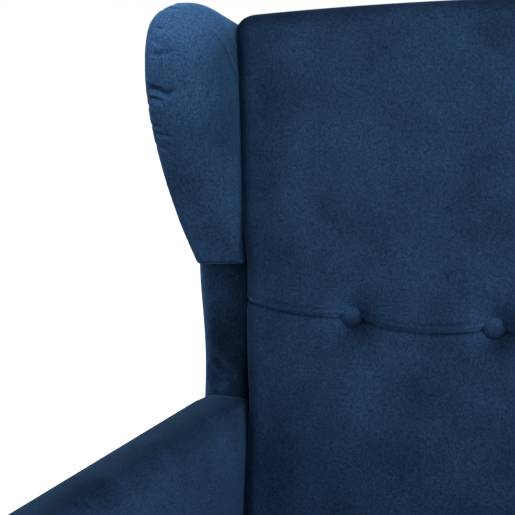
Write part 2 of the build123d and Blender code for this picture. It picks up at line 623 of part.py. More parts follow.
with BuildPart() as seat_plates:
    with BuildSketch(Plane.YZ.offset(LAYER_SEAT)):
        with BuildLine():
            Polyline(
                (-SEAT_PLATE_FRONT, SEAT_RAIL_BOTTOM_Z),
                (-SEAT_PLATE_FRONT, GUIDE_PIVOT[1] - SEAT_PLATE_RIM),
                (-GUIDE_PIVOT[0] + SEAT_PLATE_RIM, GUIDE_PIVOT[1] - SEAT_PLATE_RIM),
                (-DRIVE_PIVOT[0] + SEAT_PLATE_RIM, SEAT_PLATE_BOTTOM_Z),
                (-SEAT_TAIL_FRONT - SEAT_TAIL_SLOPE, SEAT_PLATE_BOTTOM_Z),
                (-SEAT_TAIL_FRONT, SEAT_TAIL_BOTTOM_Z),
                (-SEAT_PLATE_REAR, SEAT_TAIL_BOTTOM_Z),
                (-SEAT_PLATE_REAR, SEAT_TAIL_TOP_Z),
                (SEAT_FRAME_REAR_Y, SEAT_RAIL_BOTTOM_Z),
                close=True,
            )
        make_face()
        for pivot in (DRIVE_PIVOT, GUIDE_PIVOT, SWING_FRONT_TOP):
            hole(pivot)
        hole(SWING_REAR_TOP)
        # upright slot: the back's pin keeps level while the seat rises and falls on its links
        with Locations((-SLOT_PIN[0], SLOT_PIN[1] - SWING_RISE)):
            SlotCenterToCenter(
                2 * SWING_RISE + 2 * SLOT_CLEARANCE,
                2 * (PIN_RADIUS + SLOT_CLEARANCE),
                rotation=90,
                mode=Mode.SUBTRACT,
            )
    extrude(amount=PLATE)
    # top flange that carries the wooden side rail
    with BuildSketch(Plane.XY.offset(SEAT_RAIL_BOTTOM_Z - PLATE)):
        with Locations((LAYER_SEAT + PLATE - SEAT_FLANGE / 2, SEAT_FLANGE_MIDDLE_Y)):
            Rectangle(SEAT_FLANGE, SEAT_FLANGE_LENGTH)
        with Locations(*[(SEAT_SCREW_X, y) for y in seat_screws]):
            Circle(SCREW_RADIUS + PIN_CLEARANCE, mode=Mode.SUBTRACT)
    extrude(amount=PLATE)
    mirror(about=Plane.YZ)
save("seat_plates", seat_plates.part)

with BuildPart() as seat_pivot_pins:
    for pivot in (SWING_FRONT_TOP, SWING_REAR_TOP, GUIDE_PIVOT):
        rivet(pivot, LAYER_SEAT, LAYER_SWING)
    # the drive link's pin ends flush in the cross tube's open end
    rod(DRIVE_PIVOT, LAYER_DRIVE - DRIVE_PIN_END, LAYER_SEAT + PLATE + FACE_GAP, PIN_RADIUS)
    rod(DRIVE_PIVOT, LAYER_DRIVE + PLATE + FACE_GAP, LAYER_SEAT - FACE_GAP, COLLAR_RADIUS)
    rod(
        DRIVE_PIVOT,
        LAYER_SEAT + PLATE + FACE_GAP,
        LAYER_SEAT + PLATE + FACE_GAP + HEAD_THICKNESS,
        HEAD_RADIUS,
    )
    mirror(about=Plane.YZ)
save("seat_pivot_pins", seat_pivot_pins.part)

# ================================================================ seat: wooden frame and springs
SPRING_Z = SEAT_RAIL_TOP_Z - SPRING_WIRE - SPRING_DROP
SEAT_OPENING = SEAT_SIDE_OUTER - SEAT_RAIL_WIDTH
SPRING_FRONT_Y = SEAT_FRAME_FRONT_Y + SEAT_RAIL_DEPTH
SPRING_REAR_Y = SEAT_FRAME_REAR_Y - SEAT_RAIL_DEPTH
SEAT_OPENING_MIDDLE_Y = (SPRING_FRONT_Y + SPRING_REAR_Y) / 2

for rail_name, rail_y in (
    ("seat_front_rail", SEAT_FRAME_FRONT_Y + SEAT_RAIL_DEPTH / 2),
    ("seat_rear_rail", SEAT_FRAME_REAR_Y - SEAT_RAIL_DEPTH / 2),
):
    with BuildPart() as seat_cross_rail:
        with BuildSketch(Plane.XY.offset(SEAT_RAIL_BOTTOM_Z)):
            with Locations((0, rail_y)):
                Rectangle(2 * SEAT_SIDE_OUTER, SEAT_RAIL_DEPTH)
        extrude(amount=SEAT_RAIL_HEIGHT)
    save(rail_name, seat_cross_rail.part)

with BuildPart() as seat_side_rails:
    with BuildSketch(Plane.XY.offset(SEAT_RAIL_BOTTOM_Z)):
        with Locations((SEAT_SIDE_OUTER - SEAT_RAIL_WIDTH / 2, SEAT_OPENING_MIDDLE_Y)):
            Rectangle(SEAT_RAIL_WIDTH, SPRING_REAR_Y - SPRING_FRONT_Y)
    extrude(amount=SEAT_RAIL_HEIGHT)
    with BuildSketch(Plane.XY.offset(SEAT_RAIL_BOTTOM_Z)):
        with Locations(*[(SEAT_SCREW_X, y) for y in seat_screws]):
            Circle(SCREW_RADIUS + PIN_CLEARANCE)
    extrude(amount=SCREW_LENGTH, mode=Mode.SUBTRACT)
    mirror(about=Plane.YZ)
save("seat_side_rails", seat_side_rails.part)

with BuildPart() as seat_plate_screws:
    with BuildSketch(Plane.XY.offset(SEAT_RAIL_BOTTOM_Z - PLATE - FACE_GAP)):
        with Locations(*[(SEAT_SCREW_X, y) for y in seat_screws]):
            Circle(SCREW_HEAD_RADIUS)
    extrude(amount=-SCREW_HEAD)
    with BuildSketch(Plane.XY.offset(SEAT_RAIL_BOTTOM_Z - PLATE - FACE_GAP)):
        with Locations(*[(SEAT_SCREW_X, y) for y in seat_screws]):
            Circle(SCREW_RADIUS)
    extrude(amount=PLATE + SCREW_LENGTH)
    mirror(about=Plane.YZ)
save("seat_plate_screws", seat_plate_screws.part)

spring_turns = int((SPRING_REAR_Y - SPRING_FRONT_Y) // SPRING_PITCH)
spring_step = (SPRING_REAR_Y - SPRING_FRONT_Y) / spring_turns
spring_columns = [
    (column - (SPRING_COUNT - 1) / 2) * 2 * SEAT_OPENING / SPRING_COUNT
    for column in range(SPRING_COUNT)
]

with BuildPart() as seat_springs:
    for middle in spring_columns:
        corners = [(middle, SPRING_FRONT_Y + SPRING_WIRE, SPRING_Z)]
        for turn in range(spring_turns):
            side = SPRING_HALF_WIDTH if turn % 2 else -SPRING_HALF_WIDTH
            for share in SPRING_BEND_SHARES:
                bend_y = SPRING_FRONT_Y + (turn + share) * spring_step
                corners.append((middle + side, bend_y, SPRING_Z))
        corners.append((middle, SPRING_REAR_Y - SPRING_WIRE, SPRING_Z))
        with BuildLine() as wire:
            FilletPolyline(*corners, radius=SPRING_BEND)
        with BuildSketch(Plane(origin=corners[0], z_dir=wire.line % 0)):
            Circle(SPRING_WIRE)
        sweep(path=wire.line)
save("seat_springs", seat_springs.part)

with BuildPart() as spring_clips:
    with BuildSketch(Plane.XY.offset(SEAT_RAIL_TOP_Z)):
        for edge_y in (SPRING_FRONT_Y - CLIP_LENGTH / 2, SPRING_REAR_Y + CLIP_LENGTH / 2):
            with Locations(*[(middle, edge_y) for middle in spring_columns]):
                Rectangle(CLIP_WIDTH, CLIP_LENGTH)
    extrude(amount=CLIP_THICKNESS)
save("spring_clips", spring_clips.part)

with BuildPart() as spring_cover:
    with BuildSketch(Plane.XY.offset(SEAT_RAIL_TOP_Z)):
        with Locations((0, SEAT_OPENING_MIDDLE_Y)):
            Rectangle(
                2 * (SEAT_SIDE_OUTER - SPRING_COVER_INSET),
                SPRING_REAR_Y - SPRING_FRONT_Y - 2 * SPRING_COVER_END,
            )
    extrude(amount=SPRING_COVER)
save("spring_cover", spring_cover.part)

with BuildPart() as seat_cushion:
    with BuildSketch(Plane.YZ.offset(-SEAT_HALF_WIDTH)):
        with BuildLine():
            Polyline(
                (FRONT_Y, SEAT_CUSHION_BOTTOM_Z),
                (FRONT_Y, SEAT_TOP_Z + SEAT_CROWN),
                (SEAT_REAR_Y, SEAT_TOP_Z),
                (SEAT_REAR_Y, SEAT_CUSHION_BOTTOM_Z),
                close=True,
            )
        make_face()
    extrude(amount=2 * SEAT_HALF_WIDTH)
    nose_edge = seat_cushion.faces().sort_by(Axis.Y)[0].edges().sort_by(Axis.Z)[-1]
    fillet(nose_edge, SEAT_NOSE)
save("seat_cushion", seat_cushion.part)

# ================================================================ footrest linkage
with BuildPart() as drive_links:
    with BuildSketch(Plane.YZ.offset(LAYER_DRIVE)):
        link(DRIVE_PIVOT, KNEE)
        link(DRIVE_PIVOT, UPPER_START)
        link(UPPER_START, KNEE)
        for pivot in (DRIVE_PIVOT, UPPER_START, KNEE):
            hole(pivot)
    extrude(amount=PLATE)
    mirror(about=Plane.YZ)
save("drive_links", drive_links.part)

with BuildPart() as cross_tube:
    with BuildSketch(Plane.YZ.offset(-LAYER_DRIVE)):
        with Locations(yz(DRIVE_PIVOT)):
            Circle(TUBE_RADIUS)
            Circle(TUBE_RADIUS - TUBE_WALL, mode=Mode.SUBTRACT)
    extrude(amount=2 * LAYER_DRIVE)
save("cross_tube", cross_tube.part)

with BuildPart() as drive_link_rivets:
    rivet(KNEE, LAYER_MAIN, LAYER_DRIVE)
    rivet(UPPER_START, LAYER_UPPER, LAYER_DRIVE)
    mirror(about=Plane.YZ)
save("drive_link_rivets", drive_link_rivets.part)

with BuildPart() as main_links:
    with BuildSketch(Plane.YZ.offset(LAYER_MAIN)):
        link(KNEE, FOOTREST_PIVOT)
        link(KNEE, GUIDE_END)
        for pivot in (KNEE, FOOTREST_PIVOT, GUIDE_END):
            hole(pivot)
    extrude(amount=PLATE)
    mirror(about=Plane.YZ)
save("main_links", main_links.part)

with BuildPart() as main_link_rivets:
    rivet(FOOTREST_PIVOT, LAYER_BRACKET, LAYER_MAIN)
    rivet(GUIDE_END, LAYER_MAIN, LAYER_SWING)
    mirror(about=Plane.YZ)
save("main_link_rivets", main_link_rivets.part)

with BuildPart() as guide_links:
    with BuildSketch(Plane.YZ.offset(LAYER_SWING)):
        link(GUIDE_PIVOT, GUIDE_END)
        hole(GUIDE_PIVOT)
        hole(GUIDE_END, GUIDE_OPEN_CLEARANCE)
    extrude(amount=PLATE)
    mirror(about=Plane.YZ)
save("guide_links", guide_links.part)

with BuildPart() as upper_links:
    with BuildSketch(Plane.YZ.offset(LAYER_UPPER)):
        link(UPPER_START, UPPER_END)
        hole(UPPER_START)
        hole(UPPER_END, UPPER_OPEN_CLEARANCE)
    extrude(amount=PLATE)
    mirror(about=Plane.YZ)
save("upper_links", upper_links.part)

# ================================================================ footrest
BRACKET_REAR = FOOTREST_PIVOT[0] - BRACKET_RIM
BRACKET_TOP_Z = UPPER_END[1] + BRACKET_RIM
BRACKET_BOTTOM_Z = FOOTREST_PIVOT[1] - BRACKET_DROP
BRACKET_FLANGE_X = LAYER_BRACKET + PLATE - BRACKET_FLANGE / 2
FOOTREST_SCREW_X = BRACKET_FLANGE_X - BRACKET_SCREW_ASIDE
footrest_screw_places = [
    (FOOTREST_SCREW_X, z)
    for z in (BRACKET_BOTTOM_Z + BRACKET_SCREW_INSET, BRACKET_TOP_Z - BRACKET_SCREW_INSET)
]
FOOTREST_BOARD_HALF = FOOTREST_HALF_WIDTH - FOOTREST_BOARD_SIDE
FOOTREST_BOARD_MIDDLE_Z = (FOOTREST_TOP_Z + FOOTREST_BOTTOM_Z) / 2
FOOTREST_BOARD_HEIGHT = FOOTREST_TOP_Z - FOOTREST_BOTTOM_Z - 2 * FOOTREST_BOARD_RIM

with BuildPart() as footrest_brackets:
    with BuildSketch(Plane.YZ.offset(LAYER_BRACKET)):
        with BuildLine():
            Polyline(
                (-FOOTREST_REAR, BRACKET_TOP_Z),
                (-BRACKET_REAR, BRACKET_TOP_Z),
                (-BRACKET_REAR, FOOTREST_PIVOT[1] - BRACKET_STEP),
                (-FOOTREST_REAR + PLATE, BRACKET_BOTTOM_Z),
                (-FOOTREST_REAR, BRACKET_BOTTOM_Z),
                close=True,
            )
        make_face()
        hole(FOOTREST_PIVOT)
        hole(UPPER_END)
    extrude(amount=PLATE)
    with BuildSketch(Plane.XZ.offset(FOOTREST_REAR)):
        with Locations((BRACKET_FLANGE_X, (BRACKET_TOP_Z + BRACKET_BOTTOM_Z) / 2)):
            Rectangle(BRACKET_FLANGE, BRACKET_TOP_Z - BRACKET_BOTTOM_Z)
        with Locations(*footrest_screw_places):
            Circle(SCREW_RADIUS + PIN_CLEARANCE, mode=Mode.SUBTRACT)
    extrude(amount=-BRACKET_STEEL)
    mirror(about=Plane.YZ)
save("footrest_brackets", footrest_brackets.part)

with BuildPart() as bracket_rivets:
    rivet(UPPER_END, LAYER_UPPER, LAYER_BRACKET, head=WIDE_HEAD_RADIUS)
    mirror(about=Plane.YZ)
save("bracket_rivets", bracket_rivets.part)

with BuildPart() as footrest_board:
    with BuildSketch(Plane.XZ.offset(FOOTREST_REAR)):
        with Locations((0, FOOTREST_BOARD_MIDDLE_Z)):
            RectangleRounded(2 * FOOTREST_BOARD_HALF, FOOTREST_BOARD_HEIGHT, FOOTREST_BOARD_CORNER)
        for side in (-1, 1):
            with Locations(*[(side * x, z) for x, z in footrest_screw_places]):
                Circle(SCREW_RADIUS + PIN_CLEARANCE, mode=Mode.SUBTRACT)
    extrude(amount=FOOTREST_BOARD)
save("footrest_board", footrest_board.part)

with BuildPart() as footrest_screws:
    with BuildSketch(Plane.XZ.offset(FOOTREST_REAR - BRACKET_STEEL - FACE_GAP)):
        with Locations(*footrest_screw_places):
            Circle(SCREW_HEAD_RADIUS)
    extrude(amount=-SCREW_HEAD)
    with BuildSketch(Plane.XZ.offset(FOOTREST_REAR - BRACKET_STEEL - FACE_GAP)):
        with Locations(*footrest_screw_places):
            Circle(SCREW_RADIUS)
    extrude(amount=BRACKET_STEEL + FOOTREST_BOARD)
    mirror(about=Plane.YZ)
save("footrest_screws", footrest_screws.part)

with BuildPart() as footrest_cushion:
    with BuildSketch(Plane.XZ.offset(FOOTREST_REAR)):
        with Locations((0, FOOTREST_BOARD_MIDDLE_Z)):
            Rectangle(2 * FOOTREST_HALF_WIDTH, FOOTREST_TOP_Z - FOOTREST_BOTTOM_Z)
    extrude(amount=-FRONT_Y - FOOTREST_REAR)
    fillet(footrest_cushion.faces().sort_by(Axis.Y)[0].edges(), FOOTREST_EDGE)
    with BuildSketch(Plane.XZ.offset(FOOTREST_REAR)):
        with Locations((0, FOOTREST_BOARD_MIDDLE_Z)):
            RectangleRounded(2 * FOOTREST_BOARD_HALF, FOOTREST_BOARD_HEIGHT, FOOTREST_BOARD_CORNER)
    extrude(amount=FOOTREST_BOARD, mode=Mode.SUBTRACT)
save("footrest_cushion", footrest_cushion.part)

# ================================================================ back: frame
POST_MIDDLE_DEPTH = (POST_FRONT + POST_REAR) / 2
POST_MIDDLE_X = POST_INNER + POST_WIDTH / 2
back_screw_heights = [BACK_BOTTOM_Z + rise for rise in BACK_SCREW_RISES]
back_screws = [(-back_y(z, POST_MIDDLE_DEPTH), z) for z in back_screw_heights]

with BuildPart() as back_posts:
    with BuildSketch(BACK_PLANE.offset(-POST_FRONT)):
        with Locations((POST_MIDDLE_X, (slope(BACK_BOTTOM_Z) + slope(POST_TOP_Z)) / 2)):
            Rectangle(POST_WIDTH, slope(POST_TOP_Z) - slope(BACK_BOTTOM_Z))
    extrude(amount=POST_FRONT - POST_REAR)
    with BuildSketch(Plane.YZ.offset(POST_INNER)):
        for place in back_screws:
            with Locations(yz(place)):
                Circle(SCREW_RADIUS + PIN_CLEARANCE)
    extrude(amount=SCREW_LENGTH, mode=Mode.SUBTRACT)
    mirror(about=Plane.YZ)
save("back_posts", back_posts.part)

back_rails = {
    "back_lower_rail": slope(LOWER_RAIL_Z),
    "back_middle_rail": slope(MIDDLE_RAIL_Z),
    "back_top_rail": slope(POST_TOP_Z) - RAIL_HEIGHT / 2,
}
for rail_name, rail_height in back_rails.items():
    with BuildPart() as back_rail:
        with BuildSketch(BACK_PLANE.offset(-POST_FRONT)):
            with Locations((0, rail_height)):
                Rectangle(2 * POST_INNER, RAIL_HEIGHT)
        extrude(amount=-RAIL_DEPTH)
    save(rail_name, back_rail.part)

WEB_BOTTOM = slope(LOWER_RAIL_Z) - RAIL_HEIGHT / 2 + WEB_SETBACK
WEB_TOP = slope(POST_TOP_Z) - WEB_SETBACK
with BuildPart() as back_webbing:
    with BuildSketch(BACK_PLANE.offset(-POST_FRONT)):
        with Locations((0, (WEB_BOTTOM + WEB_TOP) / 2)):
            with GridLocations(2 * POST_INNER / WEB_COUNT, 1, WEB_COUNT, 1):
                Rectangle(WEB_WIDTH, WEB_TOP - WEB_BOTTOM)
    extrude(amount=WEB_THICKNESS)
save("back_webbing", back_webbing.part)

with BuildPart() as back_panel:
    with BuildSketch(BACK_PLANE.offset(-BOLSTER_REAR_DEPTH)):
        with Locations((0, (slope(BACK_PANEL_BOTTOM_Z) + slope(POST_TOP_Z)) / 2)):
            Rectangle(2 * (BOLSTER_INNER - FIT), slope(POST_TOP_Z) - slope(BACK_PANEL_BOTTOM_Z))
    extrude(amount=BACK_PANEL_THICKNESS)
save("back_panel", back_panel.part)

TOP_PADDING_FOOT_Z = POST_TOP_Z - BOLSTER_REAR_DEPTH * BACK_SIN
TOP_PADDING_HALF = WING_FOOT_INNER + (TOP_PADDING_FOOT_Z - WING_BOTTOM_Z) * WING_TAN - FIT
with BuildPart() as back_top_padding:
    with BuildSketch(BACK_PLANE.offset(-BOLSTER_REAR_DEPTH)):
        with Locations((0, slope(POST_TOP_Z) + TOP_PADDING / 2)):
            Rectangle(2 * TOP_PADDING_HALF, TOP_PADDING)
    extrude(amount=BOLSTER_REAR_DEPTH - POST_FRONT)
    rear_top_edge = back_top_padding.edges().filter_by(Axis.X).sort_by(Axis.Y)[-1]
    fillet(rear_top_edge, TOP_PADDING / 2)
save("back_top_padding", back_top_padding.part)

with BuildPart() as back_brackets:
    with BuildSketch(Plane.YZ.offset(LAYER_SWING)):
        link(BACK_PIVOT_FORWARD, SLOT_PIN, BACK_BRACKET_WIDTH)
        link(BACK_PIVOT_FORWARD, back_screws[0], BACK_BRACKET_WIDTH)
        link(back_screws[0], back_screws[1], BACK_BRACKET_WIDTH)
        for pivot in (BACK_PIVOT_FORWARD, SLOT_PIN):
            hole(pivot)
        for place in back_screws:
            with Locations(yz(place)):
                Circle(SCREW_RADIUS + PIN_CLEARANCE, mode=Mode.SUBTRACT)
    extrude(amount=PLATE)
    mirror(about=Plane.YZ)
save("back_brackets", back_brackets.part)

with BuildPart() as back_bracket_screws:
    for place in back_screws:
        rod(place, LAYER_SWING - FACE_GAP - SCREW_HEAD, LAYER_SWING - FACE_GAP, SCREW_HEAD_RADIUS)
        rod(place, LAYER_SWING - FACE_GAP, LAYER_SWING + PLATE + SCREW_LENGTH, SCREW_RADIUS)
    mirror(about=Plane.YZ)
save("back_bracket_screws", back_bracket_screws.part)

with BuildPart() as slot_pins:
    rivet(SLOT_PIN, LAYER_SEAT, LAYER_SWING, head=WIDE_HEAD_RADIUS)
    mirror(about=Plane.YZ)
save("slot_pins", slot_pins.part)

# ================================================================ back: cushion and buttons
button_places = [(column * BUTTON_SPACING, slope(BUTTON_SEAM_Z)) for column in (-1, 0, 1)]
BACK_CUSHION_BOTTOM = slope(SEAT_TOP_Z + BACK_CUSHION_DROP)
BACK_CUSHION_TOP = slope(BACK_CUSHION_TOP_Z)

with BuildPart() as back_cushion:
    with BuildSketch(BACK_PLANE.offset(-BACK_CUSHION_THICKNESS)) as cushion_outline:
        with BuildLine():
            Polyline(
                (-BACK_CUSHION_HALF_TOP, BACK_CUSHION_TOP),
                (-BACK_CUSHION_HALF_MIDDLE, slope(WING_BOTTOM_Z)),
                (-BACK_CUSHION_HALF_MIDDLE, slope(ARM_TOP_Z + CUSHION_WIDENING)),
                (-BACK_CUSHION_HALF_LOW, slope(ARM_TOP_Z)),
                (-BACK_CUSHION_HALF_LOW, BACK_CUSHION_BOTTOM),
                (BACK_CUSHION_HALF_LOW, BACK_CUSHION_BOTTOM),
                (BACK_CUSHION_HALF_LOW, slope(ARM_TOP_Z)),
                (BACK_CUSHION_HALF_MIDDLE, slope(ARM_TOP_Z + CUSHION_WIDENING)),
                (BACK_CUSHION_HALF_MIDDLE, slope(WING_BOTTOM_Z)),
                (BACK_CUSHION_HALF_TOP, BACK_CUSHION_TOP),
                close=True,
            )
        make_face()
        fillet(cushion_outline.vertices().group_by(Axis.Z)[-1], BACK_CUSHION_CORNER)
    extrude(amount=BACK_CUSHION_THICKNESS)
    with BuildSketch(BACK_PLANE):
        with Locations(*button_places):
            Circle(BUTTON_RADIUS + FIT)
    extrude(amount=-BUTTON_SINK, mode=Mode.SUBTRACT)
save("back_cushion", back_cushion.part)

with BuildPart() as back_buttons:
    with BuildSketch(BACK_PLANE.offset(-BUTTON_SINK)):
        with Locations(*button_places):
            Circle(BUTTON_RADIUS)
    extrude(amount=BUTTON_THICKNESS)
    front_rims = back_buttons.edges().group_by(Axis((0, 0, 0), (0, -BACK_COS, BACK_SIN)))[-1]
    fillet(front_rims, BUTTON_EDGE)
save("back_buttons", back_buttons.part)

# ================================================================ back: wings and bolsters
WING_REAR_TOP_Z = CHAIR_HEIGHT - WING_TOP_FALL
BLOCK_FRONT = POST_FRONT + BLOCK_SETBACK
BLOCK_REAR = POST_REAR - BLOCK_SETBACK
BOARD_INNER = (BOLSTER_INNER + BOLSTER_OUTER - WING_BOARD) / 2 + BOARD_ASIDE
BOARD_BOTTOM_Z = BACK_BOTTOM_Z + BOARD_RAISE
BOARD_TOP_Z = CHAIR_HEIGHT - WING_PADDING


def wing_outline():
    """Side outline of a wing: curved front edge, sloping top, straight back."""
    rear_top = (back_y(CHAIR_HEIGHT, BOLSTER_REAR_DEPTH), WING_REAR_TOP_Z)
    rear_foot = (back_y(WING_BOTTOM_Z, BOLSTER_REAR_DEPTH), WING_BOTTOM_Z)
    front = Spline(*[(back_y(z, depth), z) for z, depth in wing_edge])
    Polyline(front @ 1, rear_top, rear_foot, front @ 0)


def board_outline():
    """Side outline of the plywood board that stiffens a wing and the bolster under it."""
    front = [(z, depth + BOARD_INSET) for z, depth in wing_edge[1:4]]
    corners = [
        (BOARD_BOTTOM_Z, BOLSTER_DEPTH + WING_PADDING),
        (WING_BOTTOM_Z, BOLSTER_DEPTH + WING_PADDING),
        *front,
        (BOARD_TOP_Z, wing_edge[-1][1]),
        (BOARD_TOP_Z - WING_TOP_FALL, BOLSTER_REAR_DEPTH - WING_PADDING),
        (BOARD_BOTTOM_Z, BOLSTER_REAR_DEPTH - WING_PADDING),
    ]
    Polyline(*[(back_y(z, depth), z) for z, depth in corners], close=True)


def block_outline():
    """Side outline of the wooden blocks between a back post and the board beside it."""
    for z in BLOCK_HEIGHTS:
        with Locations((back_y(z, (BLOCK_FRONT + BLOCK_REAR) / 2), z)):
            Rectangle(BLOCK_REAR - BLOCK_FRONT, BLOCK_HEIGHT)


WING_INNER_FACE = Plane(
    origin=(WING_FOOT_INNER, 0, WING_BOTTOM_Z), x_dir=(0, 1, 0), z_dir=(WING_COS, 0, -WING_SIN)
)
with BuildPart() as right_wing:
    with BuildSketch(Plane.YZ.offset(WING_FOOT_INNER)):
        with BuildLine():
            wing_outline()
        make_face()
    extrude(amount=ARM_OUTER - WING_FOOT_INNER)
    split(bisect_by=WING_INNER_FACE, keep=Keep.TOP)
    split(bisect_by=WING_INNER_FACE.offset(WING_THICKNESS), keep=Keep.BOTTOM)
    with BuildSketch(Plane.YZ.offset(BOARD_INNER)):
        with BuildLine():
            board_outline()
        make_face()
    extrude(amount=WING_BOARD, mode=Mode.SUBTRACT)
save("right_wing", right_wing.part)

with BuildPart() as left_wing:
    add(mirror(right_wing.part, about=Plane.YZ))
save("left_wing", left_wing.part)

with BuildPart() as right_bolster:
    with BuildSketch(Plane.YZ.offset(BOLSTER_INNER)):
        with BuildLine():
            Polyline(
                (back_y(WING_BOTTOM_Z, BOLSTER_DEPTH), WING_BOTTOM_Z),
                (back_y(WING_BOTTOM_Z, BOLSTER_REAR_DEPTH), WING_BOTTOM_Z),
                (BACK_PIVOT[0] + KNUCKLE_RADIUS * BACK_COS, BACK_PIVOT[1] - KNUCKLE_RADIUS * BACK_SIN),
                (BACK_PIVOT[0] - KNUCKLE_RADIUS * BACK_COS, BACK_PIVOT[1] + KNUCKLE_RADIUS * BACK_SIN),
                close=True,
            )
        make_face()
        with Locations(BACK_PIVOT):
            Circle(KNUCKLE_RADIUS)
    extrude(amount=BOLSTER_OUTER - BOLSTER_INNER)
    with BuildSketch(Plane.YZ.offset(BOARD_INNER)):
        with BuildLine():
            board_outline()
        make_face()
    extrude(amount=WING_BOARD, mode=Mode.SUBTRACT)
    with BuildSketch(Plane.YZ.offset(BOLSTER_INNER)):
        block_outline()
    extrude(amount=BOARD_INNER - BOLSTER_INNER, mode=Mode.SUBTRACT)
save("right_bolster", right_bolster.part)

with BuildPart() as left_bolster:
    add(mirror(right_bolster.part, about=Plane.YZ))
save("left_bolster", left_bolster.part)

with BuildPart() as wing_boards:
    with BuildSketch(Plane.YZ.offset(BOARD_INNER)):
        with BuildLine():
            board_outline()
        make_face()
    extrude(amount=WING_BOARD)
    mirror(about=Plane.YZ)
save("wing_boards", wing_boards.part)

with BuildPart() as wing_blocks:
    with BuildSketch(Plane.YZ.offset(POST_INNER + POST_WIDTH)):
        block_outline()
    extrude(amount=BOARD_INNER - POST_INNER - POST_WIDTH)
    mirror(about=Plane.YZ)
save("wing_blocks", wing_blocks.part)
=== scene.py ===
import math

import bpy
import numpy as np
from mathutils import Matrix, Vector


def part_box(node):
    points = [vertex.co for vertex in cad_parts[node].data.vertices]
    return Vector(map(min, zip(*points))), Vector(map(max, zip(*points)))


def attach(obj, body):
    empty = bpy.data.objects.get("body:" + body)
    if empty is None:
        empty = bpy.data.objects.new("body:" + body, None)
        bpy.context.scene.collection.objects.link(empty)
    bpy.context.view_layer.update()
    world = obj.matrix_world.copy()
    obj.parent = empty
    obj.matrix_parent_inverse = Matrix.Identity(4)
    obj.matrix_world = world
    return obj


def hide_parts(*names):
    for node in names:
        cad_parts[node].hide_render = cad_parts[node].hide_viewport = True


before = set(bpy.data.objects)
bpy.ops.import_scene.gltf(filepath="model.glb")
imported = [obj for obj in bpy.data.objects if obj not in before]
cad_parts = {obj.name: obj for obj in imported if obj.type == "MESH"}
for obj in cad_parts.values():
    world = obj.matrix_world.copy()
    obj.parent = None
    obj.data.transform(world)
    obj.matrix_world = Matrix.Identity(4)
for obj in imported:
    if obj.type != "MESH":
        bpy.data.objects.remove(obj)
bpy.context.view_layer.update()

# ---------------------------------------------------------------- camera, light and floor
# The camera stands close in front of the chair, a little to the right of its middle and level
# with the head, and looks past the back cushion at one wing and the arm below it.
camera_data = bpy.data.cameras.new("camera")
camera = bpy.data.objects.new("camera", camera_data)
bpy.context.collection.objects.link(camera)
camera.location = (0.1708, -0.827, 0.9599)
camera.rotation_euler = (math.radians(81.5), 0, math.radians(22))
camera_data.sensor_width = 36.0
camera_data.lens = 75.5
bpy.context.scene.camera = camera
bpy.context.scene.view_settings.view_transform = "Standard"


def srgb(code):
    """A colour written as sRGB hex, as the linear RGBA that the shaders take."""
    parts = [int(code[i : i + 2], 16) / 255 for i in (1, 3, 5)]
    linear = [c / 12.92 if c <= 0.04045 else ((c + 0.055) / 1.055) ** 2.4 for c in parts]
    return (*linear, 1.0)


def add_node(tree, kind, links=None, **settings):
    """Adds a node. settings are its own properties, or values of inputs by name or number."""
    node = tree.nodes.new(kind)
    for key, value in settings.items():
        if hasattr(node, key):
            setattr(node, key, value)
        else:
            node.inputs[key.replace("_", " ")].default_value = value
    for key, source in (links or {}).items():
        tree.links.new(source, node.inputs[key])
    return node


def new_material(name):
    """An empty material and its node tree."""
    material = bpy.data.materials.new(name)
    material.use_nodes = True
    material.node_tree.nodes.clear()
    return material, material.node_tree


def soft_box(name, place, width, height, power):
    """A large rectangular lamp that looks at the chair's middle."""
    lamp = bpy.data.lights.new(name, "AREA")
    lamp.shape = "RECTANGLE"
    lamp.size, lamp.size_y, lamp.energy = width, height, power
    holder = bpy.data.objects.new(name, lamp)
    holder.location = place
    aim = Vector((0, 0, 0.6)) - Vector(place)
    holder.rotation_euler = aim.to_track_quat("-Z", "Y").to_euler()
    bpy.context.collection.objects.link(holder)


def seen_directly(tree):
    """1 for what the camera sees itself, or in a mirror or through glass, and 0 for lighting."""
    rays = add_node(tree, "ShaderNodeLightPath").outputs
    links = {0: rays["Is Camera Ray"], 1: rays["Is Glossy Ray"]}
    seen = add_node(tree, "ShaderNodeMath", links, operation="MAXIMUM")
    links = {0: seen.outputs[0], 1: rays["Is Transmission Ray"]}
    return add_node(tree, "ShaderNodeMath", links, operation="MAXIMUM")


soft_box("right_soft_box", (2.6, -1.6, 1.5), 1.8, 1.8, 62)
soft_box("left_soft_box", (-2.6, 0.5, 1.3), 1.6, 1.6, 26)
soft_box("top_soft_box", (0.0, 0.2, 3.2), 2.4, 2.0, 17)

world = bpy.data.worlds.new("studio")
bpy.context.scene.world = world
world.use_nodes = True
sky = world.node_tree
sky.nodes.clear()
BACKDROP = srgb("#FFFFFF")
ROOM_LIGHT = 0.45  # of the world, on the chair
shown = seen_directly(sky)
room = add_node(sky, "ShaderNodeBackground", Color=BACKDROP, Strength=ROOM_LIGHT)
white = add_node(sky, "ShaderNodeBackground", Color=BACKDROP, Strength=1.0)
choice = add_node(
    sky, "ShaderNodeMixShader", {0: shown.outputs[0], 1: room.outputs[0], 2: white.outputs[0]}
)
add_node(sky, "ShaderNodeOutputWorld", {"Surface": choice.outputs[0]})

